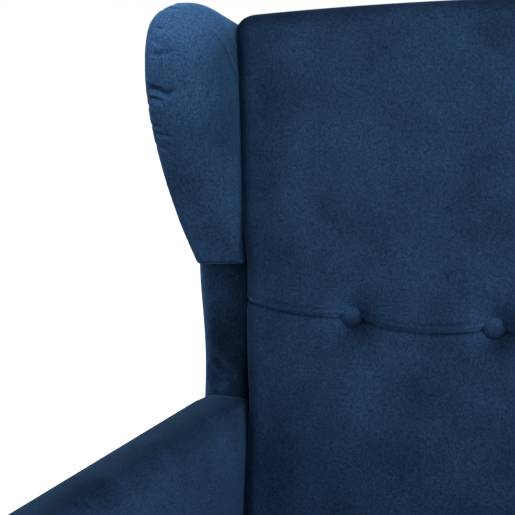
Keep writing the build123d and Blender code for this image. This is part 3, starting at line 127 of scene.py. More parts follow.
# The floor is pale matt paint. It is lifted to white where nothing shades it.
bpy.ops.object.select_all(action="DESELECT")
bpy.ops.mesh.primitive_plane_add(size=40, location=(0, 0, 0))
floor = bpy.context.object
floor.name = "floor"
FLOOR_LIFT = 0.75  # glow that only the camera sees
paint, tree = new_material("pale_floor_paint")
shown = seen_directly(tree)
lift = add_node(tree, "ShaderNodeMath", {0: shown.outputs[0]}, operation="MULTIPLY")
lift.inputs[1].default_value = FLOOR_LIFT
matt = add_node(tree, "ShaderNodeBsdfDiffuse", Color=srgb("#F2F2F2"))
glow = add_node(tree, "ShaderNodeEmission", {"Strength": lift.outputs[0]})
both = add_node(tree, "ShaderNodeAddShader", {0: matt.outputs[0], 1: glow.outputs[0]})
add_node(tree, "ShaderNodeOutputMaterial", {"Surface": both.outputs[0]})
floor.data.materials.append(paint)

# ---------------------------------------------------------------- velvet
# Deep blue furniture velvet: a short dense pile of polyester on a woven ground. Seen straight on
# it is nearly black-blue, and it glows at grazing angles, where the light catches the pile's side.
# Faces turned along a direction given for each piece are painted lighter, and faces turned away from it
# darker: painted light and shade.
VELVET_DEEP = srgb("#0D1827")
VELVET_LIGHT = srgb("#42699A")
SHEEN_TINT = srgb("#629FD6")
SPECK = 0.0021  # brushed specks in the pile, metres across
CLOUD = 0.055  # broad patches where hands have moved the pile
SPECK_CONTRAST = 1.7
RIB = 0.0024  # rows of the woven ground, drawn twice as coarse as they are so that they show
# painted light and shade: how much lighter a face is painted when it turns along the given direction
PAINTED_LIGHT_SHADE = 0.42  # how much lighter a face is that turns along the nap
PILE_SHADE = 0.085  # how light it is where it turns neither way
CLOUD_SHADE = 0.36  # how much lighter the lightest patches are


def velvet(name, painted_light_way, ribs=0.12, sheen=0.4, shade=PAINTED_LIGHT_SHADE, depth=0.0):
    """Velvet painted lighter on faces that turn along a direction given in the chair's frame, and darker on
    faces turned away from it: painted light and shade.

    shade is the strength of that painted light, and depth darkens the whole piece, or lightens it where
    negative: painted shade for each piece.
    """
    material, tree = new_material(name)
    place = add_node(tree, "ShaderNodeTexCoord")
    spot = place.outputs["Object"]
    specks = add_node(tree, "ShaderNodeTexNoise", {"Vector": spot}, Scale=1 / SPECK, Detail=2.0)
    clouds = add_node(tree, "ShaderNodeTexNoise", {"Vector": spot}, Scale=1 / CLOUD, Detail=4.0)
    drawn = add_node(tree, "ShaderNodeMapping", {"Vector": spot})
    drawn.inputs["Scale"].default_value = (1 / RIB, 1 / RIB, 1 / RIB / 12)
    combed = add_node(tree, "ShaderNodeTexNoise", {"Vector": drawn.outputs[0]}, Scale=1.0, Detail=1.0)
    # painted light and shade: how far the face turns towards the given direction lightens or darkens its
    # colour
    painted_turn = add_node(
        tree, "ShaderNodeVectorMath", {0: place.outputs["Normal"]}, operation="DOT_PRODUCT"
    )
    painted_turn.inputs[1].default_value = Vector(painted_light_way).normalized()
    painted_light_level = add_node(
        tree, "ShaderNodeMath", {0: painted_turn.outputs["Value"]}, operation="MULTIPLY_ADD"
    )
    painted_light_level.inputs[1].default_value, painted_light_level.inputs[2].default_value = shade, PILE_SHADE - depth
    patchy = add_node(tree, "ShaderNodeMath", {0: clouds.outputs[0]}, operation="MULTIPLY_ADD")
    patchy.inputs[1].default_value = CLOUD_SHADE
    tree.links.new(painted_light_level.outputs[0], patchy.inputs[2])
    clamped = add_node(tree, "ShaderNodeClamp", {"Value": patchy.outputs[0]})
    colour = add_node(tree, "ShaderNodeMix", {0: clamped.outputs[0]}, data_type="RGBA")
    colour.inputs[6].default_value = VELVET_DEEP
    colour.inputs[7].default_value = VELVET_LIGHT
    speckled = add_node(tree, "ShaderNodeMath", {0: specks.outputs[0]}, operation="MULTIPLY_ADD")
    speckled.inputs[1].default_value = SPECK_CONTRAST
    speckled.inputs[2].default_value = 1 - SPECK_CONTRAST / 2 - ribs / 2
    ribbed = add_node(
        tree, "ShaderNodeMath", {0: combed.outputs[0], 2: speckled.outputs[0]}, operation="MULTIPLY_ADD"
    )
    ribbed.inputs[1].default_value = ribs
    brushed = add_node(
        tree,
        "ShaderNodeHueSaturation",
        {"Color": colour.outputs[2], "Value": ribbed.outputs[0]},
    )
    pile = add_node(
        tree, "ShaderNodeBump", {"Height": specks.outputs[0]}, Strength=0.3, Distance=0.0008
    )
    shader = add_node(
        tree,
        "ShaderNodeBsdfPrincipled",
        {"Base Color": brushed.outputs[0], "Normal": pile.outputs[0]},
        Roughness=0.95,
        Sheen_Weight=sheen,
        Sheen_Roughness=0.35,
        Sheen_Tint=SHEEN_TINT,
        Specular_IOR_Level=0.02,
    )
    add_node(tree, "ShaderNodeOutputMaterial", {"Surface": shader.outputs[0]})
    return material


# Each of these copies paints its own light and shade: faces turned along the given direction are painted
# lighter, faces turned away darker, and depth shifts the whole piece.
back_velvet = velvet("back_velvet", painted_light_way=(0.9, -0.2, -0.7), sheen=0.33)
button_velvet = velvet("button_velvet", painted_light_way=(-0.75, -0.1, 0.7), ribs=0.0)
base_velvet = velvet("base_velvet", painted_light_way=(0.15, -0.55, -0.75), sheen=0.26, shade=0.3, depth=-0.06)

# ---------------------------------------------------------------- back cushion
# The fixed back cushion is foam and fibre in a sewn cover, stapled to the back's frame. A seam
# crosses it between the bolsters, and three covered buttons pull the cover in along the seam.
RECLINE = math.radians(6)
CUSHION_THICKNESS = 0.085
CUSHION_ROLL = 0.020
CUSHION_CORNER = 0.021
CUSHION_SQUARE = 0.0065  # size of the skin's squares
CUSHION_SWELL = 0.008
STAPLED_DEPTH = 0.030  # behind this the cover is more and more held by its staples
ARM_TAPER = 0.10  # height over which it widens above the arms
WING_TAPER = 0.045  # and above the wings' feet
TOP_PRESS = 0.0075  # how far the cover reaches sideways past its solid, at the top
WING_PRESS = 0.0045  # and past the inner faces of the pads that it presses on
BOLSTER_PRESS = 0.0025
ARM_PRESS = 0.001
TOP_ARCH = 0.0105  # how much higher the top is at its middle
ARCH_HEIGHT = 0.1  # height over which the arch fades out below it
FILL_SHRINK = 0.1  # share of the swell by which a cover starts too small
FILL_EVENING = 12  # rounds that even the swell out between neighbouring points
SEAM_SAG = 0.008  # how far the seam hangs between two buttons
SEAM_LIFT = 0.010  # how far it rises at the cushion's sides
SEAM_BAND = 0.012  # on each side of the seam, where the skin is made finer
SEAM_SINK = 0.0030
SEAM_WIDTH = 0.0019
SEAM_LIP = 0.0024  # of the upper panel, which is folded over the seam
LIP_RISE = 0.0048
LIP_WIDTH = 0.0034
SEAM_VALLEY = 0.0038
VALLEY_WIDTH = 0.035
SEAM_NOTCH = 0.0012  # where the seam pulls the cushion's side in
NOTCH_WIDTH = 0.009
NOTCH_REACH = 0.03
SEAM_FADE = 0.02  # depth over which the seam ends beyond the front roll
BUTTON_PULL = 0.0145
PULL_WIDTH = 0.020
UP_THE_BACK = np.array((0.0, math.sin(RECLINE), math.cos(RECLINE)))
OUT_OF_BACK = np.array((0.0, -math.cos(RECLINE), math.sin(RECLINE)))
cushion_low, cushion_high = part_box("back_cushion")
back_foot = np.array((0, cushion_low.y, cushion_low.z + CUSHION_THICKNESS * math.sin(RECLINE)))


def on_back(across, up, out):
    """Places on the back: across it, up its slope from the cushion's foot, and out of it."""
    sideways = np.outer(across, (1, 0, 0))
    return back_foot + sideways + np.outer(up, UP_THE_BACK) + np.outer(out, OUT_OF_BACK)


def rise_of(points):
    """How far up the back's slope each point lies, from the cushion's foot."""
    return (points - back_foot) @ UP_THE_BACK


def depth_of(points):
    """How far behind the cushion's front plane each point lies."""
    return -((points - back_foot) @ OUT_OF_BACK)


def up_of(height):
    """How far up the slope of the cushion's front plane a height above the floor lies."""
    return (height - back_foot[2]) / math.cos(RECLINE)


def points_of(piece):
    """The piece's vertices as an array of points."""
    flat = np.empty(len(piece.data.vertices) * 3)
    piece.data.vertices.foreach_get("co", flat)
    return flat.reshape(-1, 3)


def normals_of(piece):
    """The piece's vertex normals."""
    flat = np.empty(len(piece.data.vertices) * 3)
    piece.data.vertex_normals.foreach_get("vector", flat)
    return flat.reshape(-1, 3)


def set_points(piece, points):
    """Moves the piece's vertices to these points."""
    piece.data.vertices.foreach_set("co", np.ascontiguousarray(points, dtype=float).ravel())
    piece.data.update()


def activate(piece):
    """Makes this piece the only one selected, so that operators work on it alone."""
    bpy.ops.object.select_all(action="DESELECT")
    piece.select_set(True)
    bpy.context.view_layer.objects.active = piece


def slab(name, outline, pull):
    """A block drawn through an outline of points and pulled out along one way."""
    bpy.ops.object.select_all(action="DESELECT")
    bpy.ops.mesh.primitive_circle_add(vertices=len(outline), fill_type="NGON")
    piece = bpy.context.object
    piece.name = name
    set_points(piece, outline)
    bpy.ops.object.mode_set(mode="EDIT")
    bpy.ops.mesh.select_all(action="SELECT")
    bpy.ops.mesh.extrude_region_move(TRANSFORM_OT_translate={"value": tuple(pull)})
    bpy.ops.mesh.select_all(action="SELECT")
    bpy.ops.mesh.normals_make_consistent(inside=False)
    bpy.ops.object.mode_set(mode="OBJECT")
    return piece


def remesh(piece, square):
    """Rebuilds the piece as an even skin of small squares, which cloth needs."""
    activate(piece)
    skin = piece.modifiers.new("skin", "REMESH")
    skin.mode = "VOXEL"
    skin.voxel_size = square
    bpy.ops.object.modifier_apply(modifier=skin.name)


def roll_edge(points, behind_face, face_way, behind_rim, rim_way, radius):
    """Rounds the edge between a face and the rim round it, by moving the points near it.

    Each point's depth behind the face and behind the rim is given, and the ways out of them.
    """
    along = behind_rim - behind_face
    near = np.maximum(behind_rim, behind_face) < radius
    turn = (np.clip(along / radius, -1, 1) + 1) * math.pi / 4
    into_rim = np.where(near, radius * (1 - np.cos(turn)) - behind_rim, 0)
    into_face = np.where(near, radius * (1 - np.sin(turn)) - behind_face, 0)
    return points - into_rim[:, None] * rim_way - into_face[:, None] * face_way


def fill(piece, swell, held=None, pressure=4.0, frames=20):
    """Blows the cover out with cloth under pressure, straight out and no further than swell.

    held gives each point a share from 0, free, to 1, stapled to the frame. The cover starts a
    little small, so that it ends at about its own size.
    """
    before, ways = points_of(piece), normals_of(piece)
    shares = np.zeros(len(before)) if held is None else held
    before = before - ways * (FILL_SHRINK * swell * (1 - shares))[:, None]
    set_points(piece, before)
    cloth = piece.modifiers.new("cover", "CLOTH")
    cloth.settings.quality = 5
    cloth.settings.use_pressure = True
    cloth.settings.uniform_pressure_force = pressure
    cloth.settings.effector_weights.gravity = 0.0
    cloth.collision_settings.use_collision = False
    cloth.point_cache.frame_start = 1
    cloth.point_cache.frame_end = frames
    if held is not None:
        staples = piece.vertex_groups.new(name="staples")
        steps = np.round(shares, 1)
        for share in np.unique(steps[steps > 0]):
            chosen = np.nonzero(steps == share)[0]
            staples.add(chosen.tolist(), float(share), "REPLACE")
        cloth.settings.vertex_group_mass = staples.name
    scene = bpy.context.scene
    for moment in range(1, frames + 1):
        scene.frame_set(moment)
    activate(piece)
    bpy.ops.object.modifier_apply(modifier=cloth.name)
    piece.vertex_groups.clear()
    scene.frame_set(1)
    puff = ((points_of(piece) - before) * ways).sum(axis=1)
    puff = swell * np.tanh(np.maximum(puff, 0) / swell)
    ends = np.empty(2 * len(piece.data.edges), dtype=np.int32)
    piece.data.edges.foreach_get("vertices", ends)
    one, other = ends.reshape(-1, 2).T
    neighbours = np.bincount(ends, minlength=len(puff))
    for _ in range(FILL_EVENING):
        around = np.bincount(one, puff[other], len(puff)) + np.bincount(other, puff[one], len(puff))
        puff = around / neighbours
    set_points(piece, before + ways * puff[:, None])


def subdivide(piece, levels=1):
    """Finishes the skin with smooth subdivision."""
    activate(piece)
    smooth = piece.modifiers.new("smooth", "SUBSURF")
    smooth.levels = smooth.render_levels = levels
    bpy.ops.object.modifier_apply(modifier=smooth.name)
    bpy.ops.object.shade_smooth()


def finish_pad(piece, cover, body, node):
    """Gives a padded piece its cover and what it rides on, and hides the CAD node it stands for."""
    piece.data.materials.append(cover)
    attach(piece, body)
    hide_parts(node)


# The cushion is drawn in the back's plane, narrower between the arms and the bolsters.
half_top = cushion_high.x + TOP_PRESS
half_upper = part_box("right_wing")[0].x + WING_PRESS
half_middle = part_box("right_bolster")[0].x + BOLSTER_PRESS
half_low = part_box("right_arm_pad")[0].x + ARM_PRESS
arm_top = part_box("right_arm_pad")[1].z
cushion_length = up_of(cushion_high.z)
wing_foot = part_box("left_wing")[0].z
side_heights = (arm_top, arm_top + ARM_TAPER, wing_foot, wing_foot + WING_TAPER)
side_ups = [0, *(up_of(height) for height in side_heights), cushion_length]
side_halves = [half_low, half_low, half_middle, half_middle, half_upper, half_top]
half_outline = list(zip(side_halves[:-1], side_ups[:-1]))
corner_middle = (half_top - CUSHION_CORNER, cushion_length - CUSHION_CORNER)
for turn in np.linspace(0, math.pi / 2, 7):
    rounded = (math.cos(turn) * CUSHION_CORNER, math.sin(turn) * CUSHION_CORNER)
    half_outline.append((corner_middle[0] + rounded[0], corner_middle[1] + rounded[1]))
outline = half_outline + [(-across, up) for across, up in reversed(half_outline)]
across, ups = np.array(outline).T
back_cushion = slab(
    "back_cushion_cover",
    on_back(across, ups, np.zeros(len(outline))),
    -CUSHION_THICKNESS * OUT_OF_BACK,
)
remesh(back_cushion, CUSHION_SQUARE)

points = points_of(back_cushion)
across, ups = points[:, 0], rise_of(points)
past_side = np.abs(across) - (half_top - CUSHION_CORNER)
past_top = ups - (cushion_length - CUSHION_CORNER)
round_corner = np.hypot(past_side, past_top)
behind_side = np.interp(ups, side_ups, side_halves) - np.abs(across)
behind_top = cushion_length - ups
sideways = np.outer(np.sign(across), (1, 0, 0))
rim_way = np.where((behind_top < behind_side)[:, None], UP_THE_BACK, sideways)
behind_rim = np.minimum(behind_top, behind_side)
in_corner = (past_side > 0) & (past_top > 0)
corner_way = past_side[:, None] * sideways + past_top[:, None] * UP_THE_BACK
corner_way = corner_way / np.maximum(round_corner, 1e-6)[:, None]
rim_way = np.where(in_corner[:, None], corner_way, rim_way)
behind_rim = np.where(in_corner, CUSHION_CORNER - round_corner, behind_rim)
points = roll_edge(points, depth_of(points), OUT_OF_BACK, behind_rim, rim_way, CUSHION_ROLL)
set_points(back_cushion, points)
held = np.clip(depth_of(points) / STAPLED_DEPTH - 1, 0, 1)
fill(back_cushion, CUSHION_SWELL, held)
subdivide(back_cushion)

# The seam runs level with the buttons and hangs between them.
button_low, button_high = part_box("back_buttons")
BUTTON_RADIUS = 0.0126
CORE_RADIUS = 0.0125  # of the shell inside the cover
button_reach = button_high.x - CORE_RADIUS
button_columns = (-button_reach, 0.0, button_reach)
seam_up = up_of((button_low.z + button_high.z) / 2)


def seam_line(across):
    """How far up the slope the seam lies at each place across the cushion."""
    inside = np.abs(across) < button_reach
    hang = np.where(inside, np.abs(np.sin(np.pi * across / button_reach)), 0.0)
    beyond = np.clip((np.abs(across) - button_reach) / (half_middle - button_reach), 0, 1)
    return seam_up - SEAM_SAG * hang + SEAM_LIFT * beyond**3


points = points_of(back_cushion)
activate(back_cushion)
bpy.ops.object.mode_set(mode="EDIT")
bpy.ops.mesh.select_mode(type="FACE")
bpy.ops.mesh.select_all(action="DESELECT")
bpy.ops.object.mode_set(mode="OBJECT")
beside_seam = np.abs(rise_of(points) - seam_line(points[:, 0])) < SEAM_BAND
beside_seam &= depth_of(points) < CUSHION_ROLL
for face in back_cushion.data.polygons:
    face.select = bool(beside_seam[list(face.vertices)].all())
bpy.ops.object.mode_set(mode="EDIT")
bpy.ops.mesh.subdivide(number_cuts=2)
bpy.ops.object.mode_set(mode="OBJECT")
points = points_of(back_cushion)
across, ups = points[:, 0], rise_of(points)
near_top = np.clip((ups - cushion_length) / ARCH_HEIGHT + 1, 0, 1)
points += np.outer(TOP_ARCH * near_top * (1 - (across / half_top) ** 2), UP_THE_BACK)
facing = np.clip(1 - (depth_of(points) - CUSHION_ROLL) / SEAM_FADE, 0, 1)
above = ups - seam_line(across)
sink = SEAM_VALLEY * np.exp(-((above / VALLEY_WIDTH) ** 2))
sink += SEAM_SINK * np.exp(-((above / SEAM_WIDTH) ** 2))
sink -= SEAM_LIP * np.exp(-(((above - LIP_RISE) / LIP_WIDTH) ** 2))
for column in button_columns:
    ring = np.hypot(across - column, ups - seam_up)
    sink += BUTTON_PULL * np.exp(-((ring / PULL_WIDTH) ** 1.8))
points -= np.outer(sink * facing, OUT_OF_BACK)
on_side = np.abs(across) > half_middle - NOTCH_REACH
notch = SEAM_NOTCH * np.exp(-((above / NOTCH_WIDTH) ** 2)) * on_side
points[:, 0] -= np.sign(across) * notch
set_points(back_cushion, points)
finish_pad(back_cushion, back_velvet, "back", "back_cushion")

# ---------------------------------------------------------------- buttons
# Each button is a domed metal shell wrapped in the same velvet, held by a twine through the back.
BUTTON_DOME = 0.009
BUTTON_DEPTH = 0.0112
for number, column in enumerate(button_columns):
    middle = on_back([column], [seam_up], [-BUTTON_DEPTH])[0]
    bpy.ops.object.select_all(action="DESELECT")
    bpy.ops.mesh.primitive_uv_sphere_add(segments=48, ring_count=24, radius=1)
    button = bpy.context.object
    button.name = f"back_button_{number + 1}"
    points = points_of(button)
    shaped = middle + np.outer(points[:, 0] * BUTTON_RADIUS, (1, 0, 0))
    shaped = shaped + np.outer(points[:, 1] * BUTTON_RADIUS, UP_THE_BACK)
    shaped = shaped + np.outer(points[:, 2] * BUTTON_DOME, OUT_OF_BACK)
    set_points(button, shaped)
    activate(button)
    bpy.ops.object.mode_set(mode="EDIT")
    bpy.ops.mesh.select_all(action="SELECT")
    bpy.ops.mesh.normals_make_consistent(inside=False)
    bpy.ops.object.mode_set(mode="OBJECT")
    bpy.ops.object.shade_smooth()
    finish_pad(button, button_velvet, "back", "back_buttons")

# ---------------------------------------------------------------- wings
# Each wing is a plywood board wrapped in foam and velvet. The cover is drawn round the front edge
# and gathered into small puckers along the outer rim, where the side panel is sewn to it.
WING_THICKNESS = 0.0567
WING_INNER_ROLL = 0.042
WING_TOP_ROLL = 0.042  # of the inner edge along the top
WING_OUTER_ROLL = 0.006
REAR_ROLL = 0.006  # of the inner edge beside the back panel
WING_BULGE = 0.012  # how far the outer side stands out, halfway up
WING_APEX_Y = 0.215
WING_HEM_DROP = 0.007  # of the cover where it overhangs the bolster
WING_HEM_HEIGHT = 0.02
WING_TOP_FALL = 0.10  # how much the top falls for each metre behind its highest place
TOP_FALL_START = 0.95
TOP_FALL_HEIGHT = 0.10
WING_SQUARE = 0.004  # of the cover's mesh
WING_SWELL = 0.004
WING_FLAT_FOOT = 0.12
FLAT_SHARE = 0.2  # how much of its radius a roll keeps where the cover is pulled flat
CORNER_Y, CORNER_Z = 0.165, 1.035  # the front upper corner, where the foam is fullest
CORNER_SPREAD = 0.03
CORNER_PUSH = 0.005
BOLSTER_SETBACK = 0.031  # of the bolster's front from the cushion's
OUTLINE_STEP = 0.012
CORNER_TURN = math.radians(25)
wing_low, wing_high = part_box("left_wing")
bolster_front = on_back([0], [up_of(wing_low.z)], [-BOLSTER_SETBACK])[0][1]
wing_inner = wing_high.x
wing_lean = abs(wing_inner - WING_THICKNESS - wing_low.x) / (wing_high.z - wing_foot)


def outline_of(node):
    """The side outline of a CAD pad as (y, z), with even steps between its sharp corners."""
    spots = np.array([v.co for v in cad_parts[node].data.vertices])[:, 1:]
    spots = np.unique(spots.round(5), axis=0)
    ring = []
    for row in (spots, spots[::-1]):
        chain = []
        for spot in row:
            while len(chain) > 1:
                first, second = chain[-1] - chain[-2], spot - chain[-1]
                if first[0] * second[1] - first[1] * second[0] > 1e-9:
                    break
                chain.pop()
            chain.append(spot)
        ring += chain[:-1]
    ring = np.array(ring)
    edges = np.roll(ring, -1, axis=0) - ring
    headings = np.arctan2(edges[:, 1], edges[:, 0])
    turns = np.mod(headings - np.roll(headings, 1), 2 * math.pi)
    sharp = np.nonzero(turns > CORNER_TURN)[0]
    outline = []
    for begin, end in zip(sharp, np.append(sharp[1:], sharp[0] + len(ring))):
        stretch = np.take(ring, range(begin, end + 1), axis=0, mode="wrap")
        steps = np.linalg.norm(np.diff(stretch, axis=0), axis=1)
        run = np.concatenate(([0], np.cumsum(steps)))
        count = max(1, round(run[-1] / OUTLINE_STEP))
        for stop in np.linspace(0, run[-1], count, endpoint=False):
            outline.append([np.interp(stop, run, stretch[:, k]) for k in (0, 1)])
    return np.array(outline)


def behind_outline(points, outline, open_height=None):
    """How deep each point lies inside a convex side outline, and the way out of it.

    The straight edge at open_height isn't counted, because the pad joins another one there.
    """
    ends = np.roll(outline, -1, axis=0)
    edges = ends - outline
    if open_height is not None:
        kept = np.abs(outline[:, 1] - open_height) + np.abs(ends[:, 1] - open_height) > 1e-3
        outline, edges = outline[kept], edges[kept]
    edges = edges / np.linalg.norm(edges, axis=1, keepdims=True)
    ways = np.stack((edges[:, 1], -edges[:, 0]), axis=1)
    depths = (outline * ways).sum(axis=1) - points[:, 1:] @ ways.T
    nearest = depths.min(axis=1)
    shares = np.exp(-(depths - nearest[:, None]) / 0.002)
    way = shares @ ways
    way = way / np.linalg.norm(way, axis=1, keepdims=True)
    return nearest, np.column_stack((np.zeros(len(way)), way))


def side_pad(node, name, square, start, end, start_roll, end_roll, open_height=None, flat_foot=0):
    """A pad over a CAD one: its side outline from x = start to x = end, rolled on both sides.

    Each roll is a radius, or three: along the front, the top and the rear of the outline. It is
    tighter over the height flat_foot above an open foot, where the cover is pulled flat.
    """
    outline = outline_of(node)
    pad = slab(name, [(start, y, z) for y, z in outline], (end - start, 0, 0))
    remesh(pad, square)
    points = points_of(pad)
    outwards = np.array((1.0, 0.0, 0.0))
    for behind, way, radius in (
        (end - points[:, 0], outwards, end_roll),
        (points[:, 0] - start, -outwards, start_roll),
    ):
        behind_rim, rim_way = behind_outline(points, outline, open_height)
        front, top, rear = radius if np.ndim(radius) else (radius, radius, radius)
        here = front + (top - front) * np.clip(rim_way[:, 2], 0, 1) ** 2
        here = here + (rear - here) * np.clip(rim_way[:, 1], 0, 1) ** 2
        if flat_foot:
            risen = np.clip((points[:, 2] - open_height) / flat_foot, 0, 1)
            here = here * (FLAT_SHARE + (1 - FLAT_SHARE) * risen)
        points = roll_edge(points, behind, way, behind_rim, rim_way, here)
    set_points(pad, points)
    return pad


def crease(points, route, width, depth):
    """How far each point sinks into a crease of this width and depth along a route of points."""
    nearest = np.full(len(points), 1e9)
    taper = np.zeros(len(points))
    route = np.asarray(route, dtype=float)
    steps = np.linalg.norm(np.diff(route, axis=0), axis=1)
    total, run = steps.sum(), 0.0
    for start, end, step in zip(route[:-1], route[1:], steps):
        share = np.clip((points - start) @ (end - start) / step**2, 0, 1)
        gap = np.linalg.norm(points - start - share[:, None] * (end - start), axis=1)
        closer = gap < nearest
        nearest[closer] = gap[closer]
        passed = np.clip((run + share[closer] * step) / total, 0.001, 0.999)
        taper[closer] = np.sin(np.pi * passed) ** 0.6
        run += step
    return depth * taper * np.exp(-((nearest / width) ** 2))


def press(piece, creases):
    """Presses creases into a piece. Each is a route of points, a width and a depth."""
    points, normals = points_of(piece), normals_of(piece)
    sink = np.zeros(len(points))
    for route, width, depth in creases:
        on_cover = [points[np.argmin(((points - spot) ** 2).sum(axis=1))] for spot in route]
        sink += crease(points, on_cover, width, depth)
    set_points(piece, points - normals * sink[:, None])


def mirrored(piece, name):
    """A copy of a left piece as the right one."""
    twin = piece.copy()
    twin.data = piece.data.copy()
    twin.name = name
    bpy.context.collection.objects.link(twin)
    points = points_of(twin)
    points[:, 0] *= -1
    set_points(twin, points)
    activate(twin)
    bpy.ops.object.mode_set(mode="EDIT")
    bpy.ops.mesh.select_all(action="SELECT")
    bpy.ops.mesh.normals_make_consistent(inside=False)
    bpy.ops.object.mode_set(mode="OBJECT")
    return twin


wing = side_pad(
    "left_wing",
    "left_wing_cover",
    WING_SQUARE,
    wing_inner - WING_THICKNESS,
    wing_inner,
    WING_OUTER_ROLL,
    (WING_INNER_ROLL, WING_TOP_ROLL, REAR_ROLL),
    open_height=wing_foot,
    flat_foot=WING_FLAT_FOOT,
)
points = points_of(wing)
climb = np.clip((points[:, 2] - wing_foot) / (wing_high.z - wing_foot), 0, 1)
outer_share = np.clip((wing_inner - points[:, 0]) / WING_THICKNESS, 0, 1)
points[:, 0] -= WING_BULGE * np.sin(np.pi * climb**0.7) * outer_share**2
points[:, 0] -= (points[:, 2] - wing_foot) * wing_lean
from_corner = (points[:, 1] - CORNER_Y) ** 2 + (points[:, 2] - CORNER_Z) ** 2
corner = np.exp(-(from_corner / CORNER_SPREAD**2))
points += np.outer(CORNER_PUSH * corner * outer_share, (-0.3, -0.7, 0.7))
behind_apex = np.maximum(points[:, 1] - WING_APEX_Y, 0)
overhang = np.clip((bolster_front - points[:, 1]) / 0.01, 0, 1)
hem = np.clip((wing_foot + WING_HEM_HEIGHT - points[:, 2]) / WING_HEM_HEIGHT, 0, 1)
points[:, 2] -= WING_HEM_DROP * overhang * hem * (0.3 + 0.7 * outer_share)
near_top = np.clip((points[:, 2] - TOP_FALL_START) / TOP_FALL_HEIGHT, 0, 1)
points[:, 2] -= WING_TOP_FALL * behind_apex * near_top
set_points(wing, points)
fill(wing, WING_SWELL, np.clip((wing_foot + 0.01 - points[:, 2]) / 0.01, 0, 1))
subdivide(wing)

# Two short level folds lie on the front edge, and fine puckers along the outer rim. A soft ridge
# down the inner face marks where the foam's front roll ends.
front_folds = [
    ([(-0.344, 0.158, 0.996), (-0.330, 0.148, 1.001), (-0.310, 0.146, 1.004)], 0.0026, 0.0034),
    (
        [(-0.347, 0.160, 0.974), (-0.336, 0.151, 0.966), (-0.322, 0.150, 0.961), (-0.312, 0.151, 0.966)],
        0.0028,
        0.0042,
    ),
    ([(-0.347, 0.160, 0.966), (-0.336, 0.152, 0.957), (-0.324, 0.151, 0.954)], 0.0022, 0.0026),
]
PUCKERS = 15
PUCKER_LENGTH = 0.016
PUCKER_SPREAD = 0.008  # how far the lengths vary either way
PUCKER_FALL = 0.35
PUCKER_WIDTH = 0.0022
PUCKER_DEPTH = 0.0016
RIDGE_WIDTH = 0.0022
RIDGE_RISE = 0.0012
rim = np.array(
    [
        (-0.344, 0.170, 0.905),
        (-0.344, 0.156, 0.960),
        (-0.344, 0.156, 0.996),
        (-0.344, 0.162, 1.022),
        (-0.344, 0.186, 1.045),
        (-0.344, 0.226, 1.056),
    ]
)
rim_run = np.concatenate(([0], np.cumsum(np.linalg.norm(np.diff(rim, axis=0), axis=1))))
puckers = []
for number in range(PUCKERS):
    stop = rim_run[-1] * (number + 0.5 + 0.3 * math.sin(number * 2.4)) / PUCKERS
    begin = np.array([np.interp(stop, rim_run, rim[:, k]) for k in range(3)])
    length = PUCKER_LENGTH + PUCKER_SPREAD * math.sin(number * 1.7)
    end = begin + np.array((length, -0.004, -PUCKER_FALL * length))
    begin[0] -= 0.004
    puckers.append(([begin, (begin + end) / 2, end], PUCKER_WIDTH, PUCKER_DEPTH))
ridge = [
    (-0.287, 0.174, 1.045),
    (-0.285, 0.194, 1.026),
    (-0.284, 0.205, 1.013),
    (-0.283, 0.215, 0.996),
    (-0.282, 0.225, 0.981),
    (-0.281, 0.236, 0.964),
]
press(wing, front_folds + puckers + [(ridge, RIDGE_WIDTH, -RIDGE_RISE)])
right_wing = mirrored(wing, "right_wing_cover")
# Each wing's copy is painted lighter on faces turned up and forward, and darker on faces turned away:
# painted light and shade.
for side, piece, way in (("left", wing, 1), ("right", right_wing, -1)):
    painted_light_way = (way * -0.05, -0.45, 0.85)
    cover = velvet(side + "_wing_velvet", painted_light_way, ribs=0.5, sheen=0.9, shade=0.55)
    finish_pad(piece, cover, "back", side + "_wing")

# ---------------------------------------------------------------- bolsters
# Below each wing a padded bolster runs down beside the cushion and ends in a round knuckle about
# the back's pivot. Its cover is creased above the arm, where the back moves against it.
BOLSTER_INNER_ROLL = 0.010
BOLSTER_OUTER_ROLL = 0.020
BOLSTER_SQUARE = 0.0045
BOLSTER_SWELL = 0.003
BOLSTER_LAP = 0.004  # how far the cover stands outside the pad
BOLSTER_WAIST = 0.0135  # how much narrower it is at the arm than under the wing
bolster_low, bolster_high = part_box("left_bolster")
bolster = side_pad(
    "left_bolster",
    "left_bolster_cover",
    BOLSTER_SQUARE,
    bolster_low.x - BOLSTER_LAP,
    bolster_high.x,
    (BOLSTER_OUTER_ROLL, BOLSTER_OUTER_ROLL, REAR_ROLL),
    (BOLSTER_INNER_ROLL, BOLSTER_INNER_ROLL, REAR_ROLL),
    open_height=bolster_high.z,
)
points = points_of(bolster)
below_wing = (bolster_high.z - points[:, 2]) / (bolster_high.z - arm_top)
outer_share = (bolster_high.x - points[:, 0]) / (bolster_high.x - bolster_low.x)
narrowing = np.sin(np.pi / 2 * np.clip(below_wing, 0, 1)) ** 1.3
points[:, 0] += BOLSTER_WAIST * narrowing * outer_share
set_points(bolster, points)
fill(bolster, BOLSTER_SWELL, np.clip((points[:, 2] - bolster_high.z + 0.01) / 0.01, 0, 1))
subdivide(bolster)
bolster_folds = [
    ([(-0.312, 0.226, 0.668), (-0.301, 0.222, 0.656), (-0.288, 0.221, 0.647)], 0.0040, 0.0040),
    ([(-0.304, 0.226, 0.676), (-0.292, 0.222, 0.664), (-0.278, 0.222, 0.659)], 0.0045, 0.0036),
    ([(-0.314, 0.224, 0.654), (-0.303, 0.221, 0.647), (-0.293, 0.220, 0.642)], 0.0032, 0.0034),
]
press(bolster, bolster_folds)
right_bolster = mirrored(bolster, "right_bolster_cover")
# Each bolster's copy is painted lighter on faces turned outwards and back, and darker on its front: painted
# light and shade.
for side, piece, way in (("left", bolster, 1), ("right", right_bolster, -1)):
    painted_light_way = (way * -0.7, 0.4, 0.1)
    cover = velvet(side + "_bolster_velvet", painted_light_way, ribs=0.2, shade=0.3, depth=0.01)
    finish_pad(piece, cover, "back", side + "_bolster")

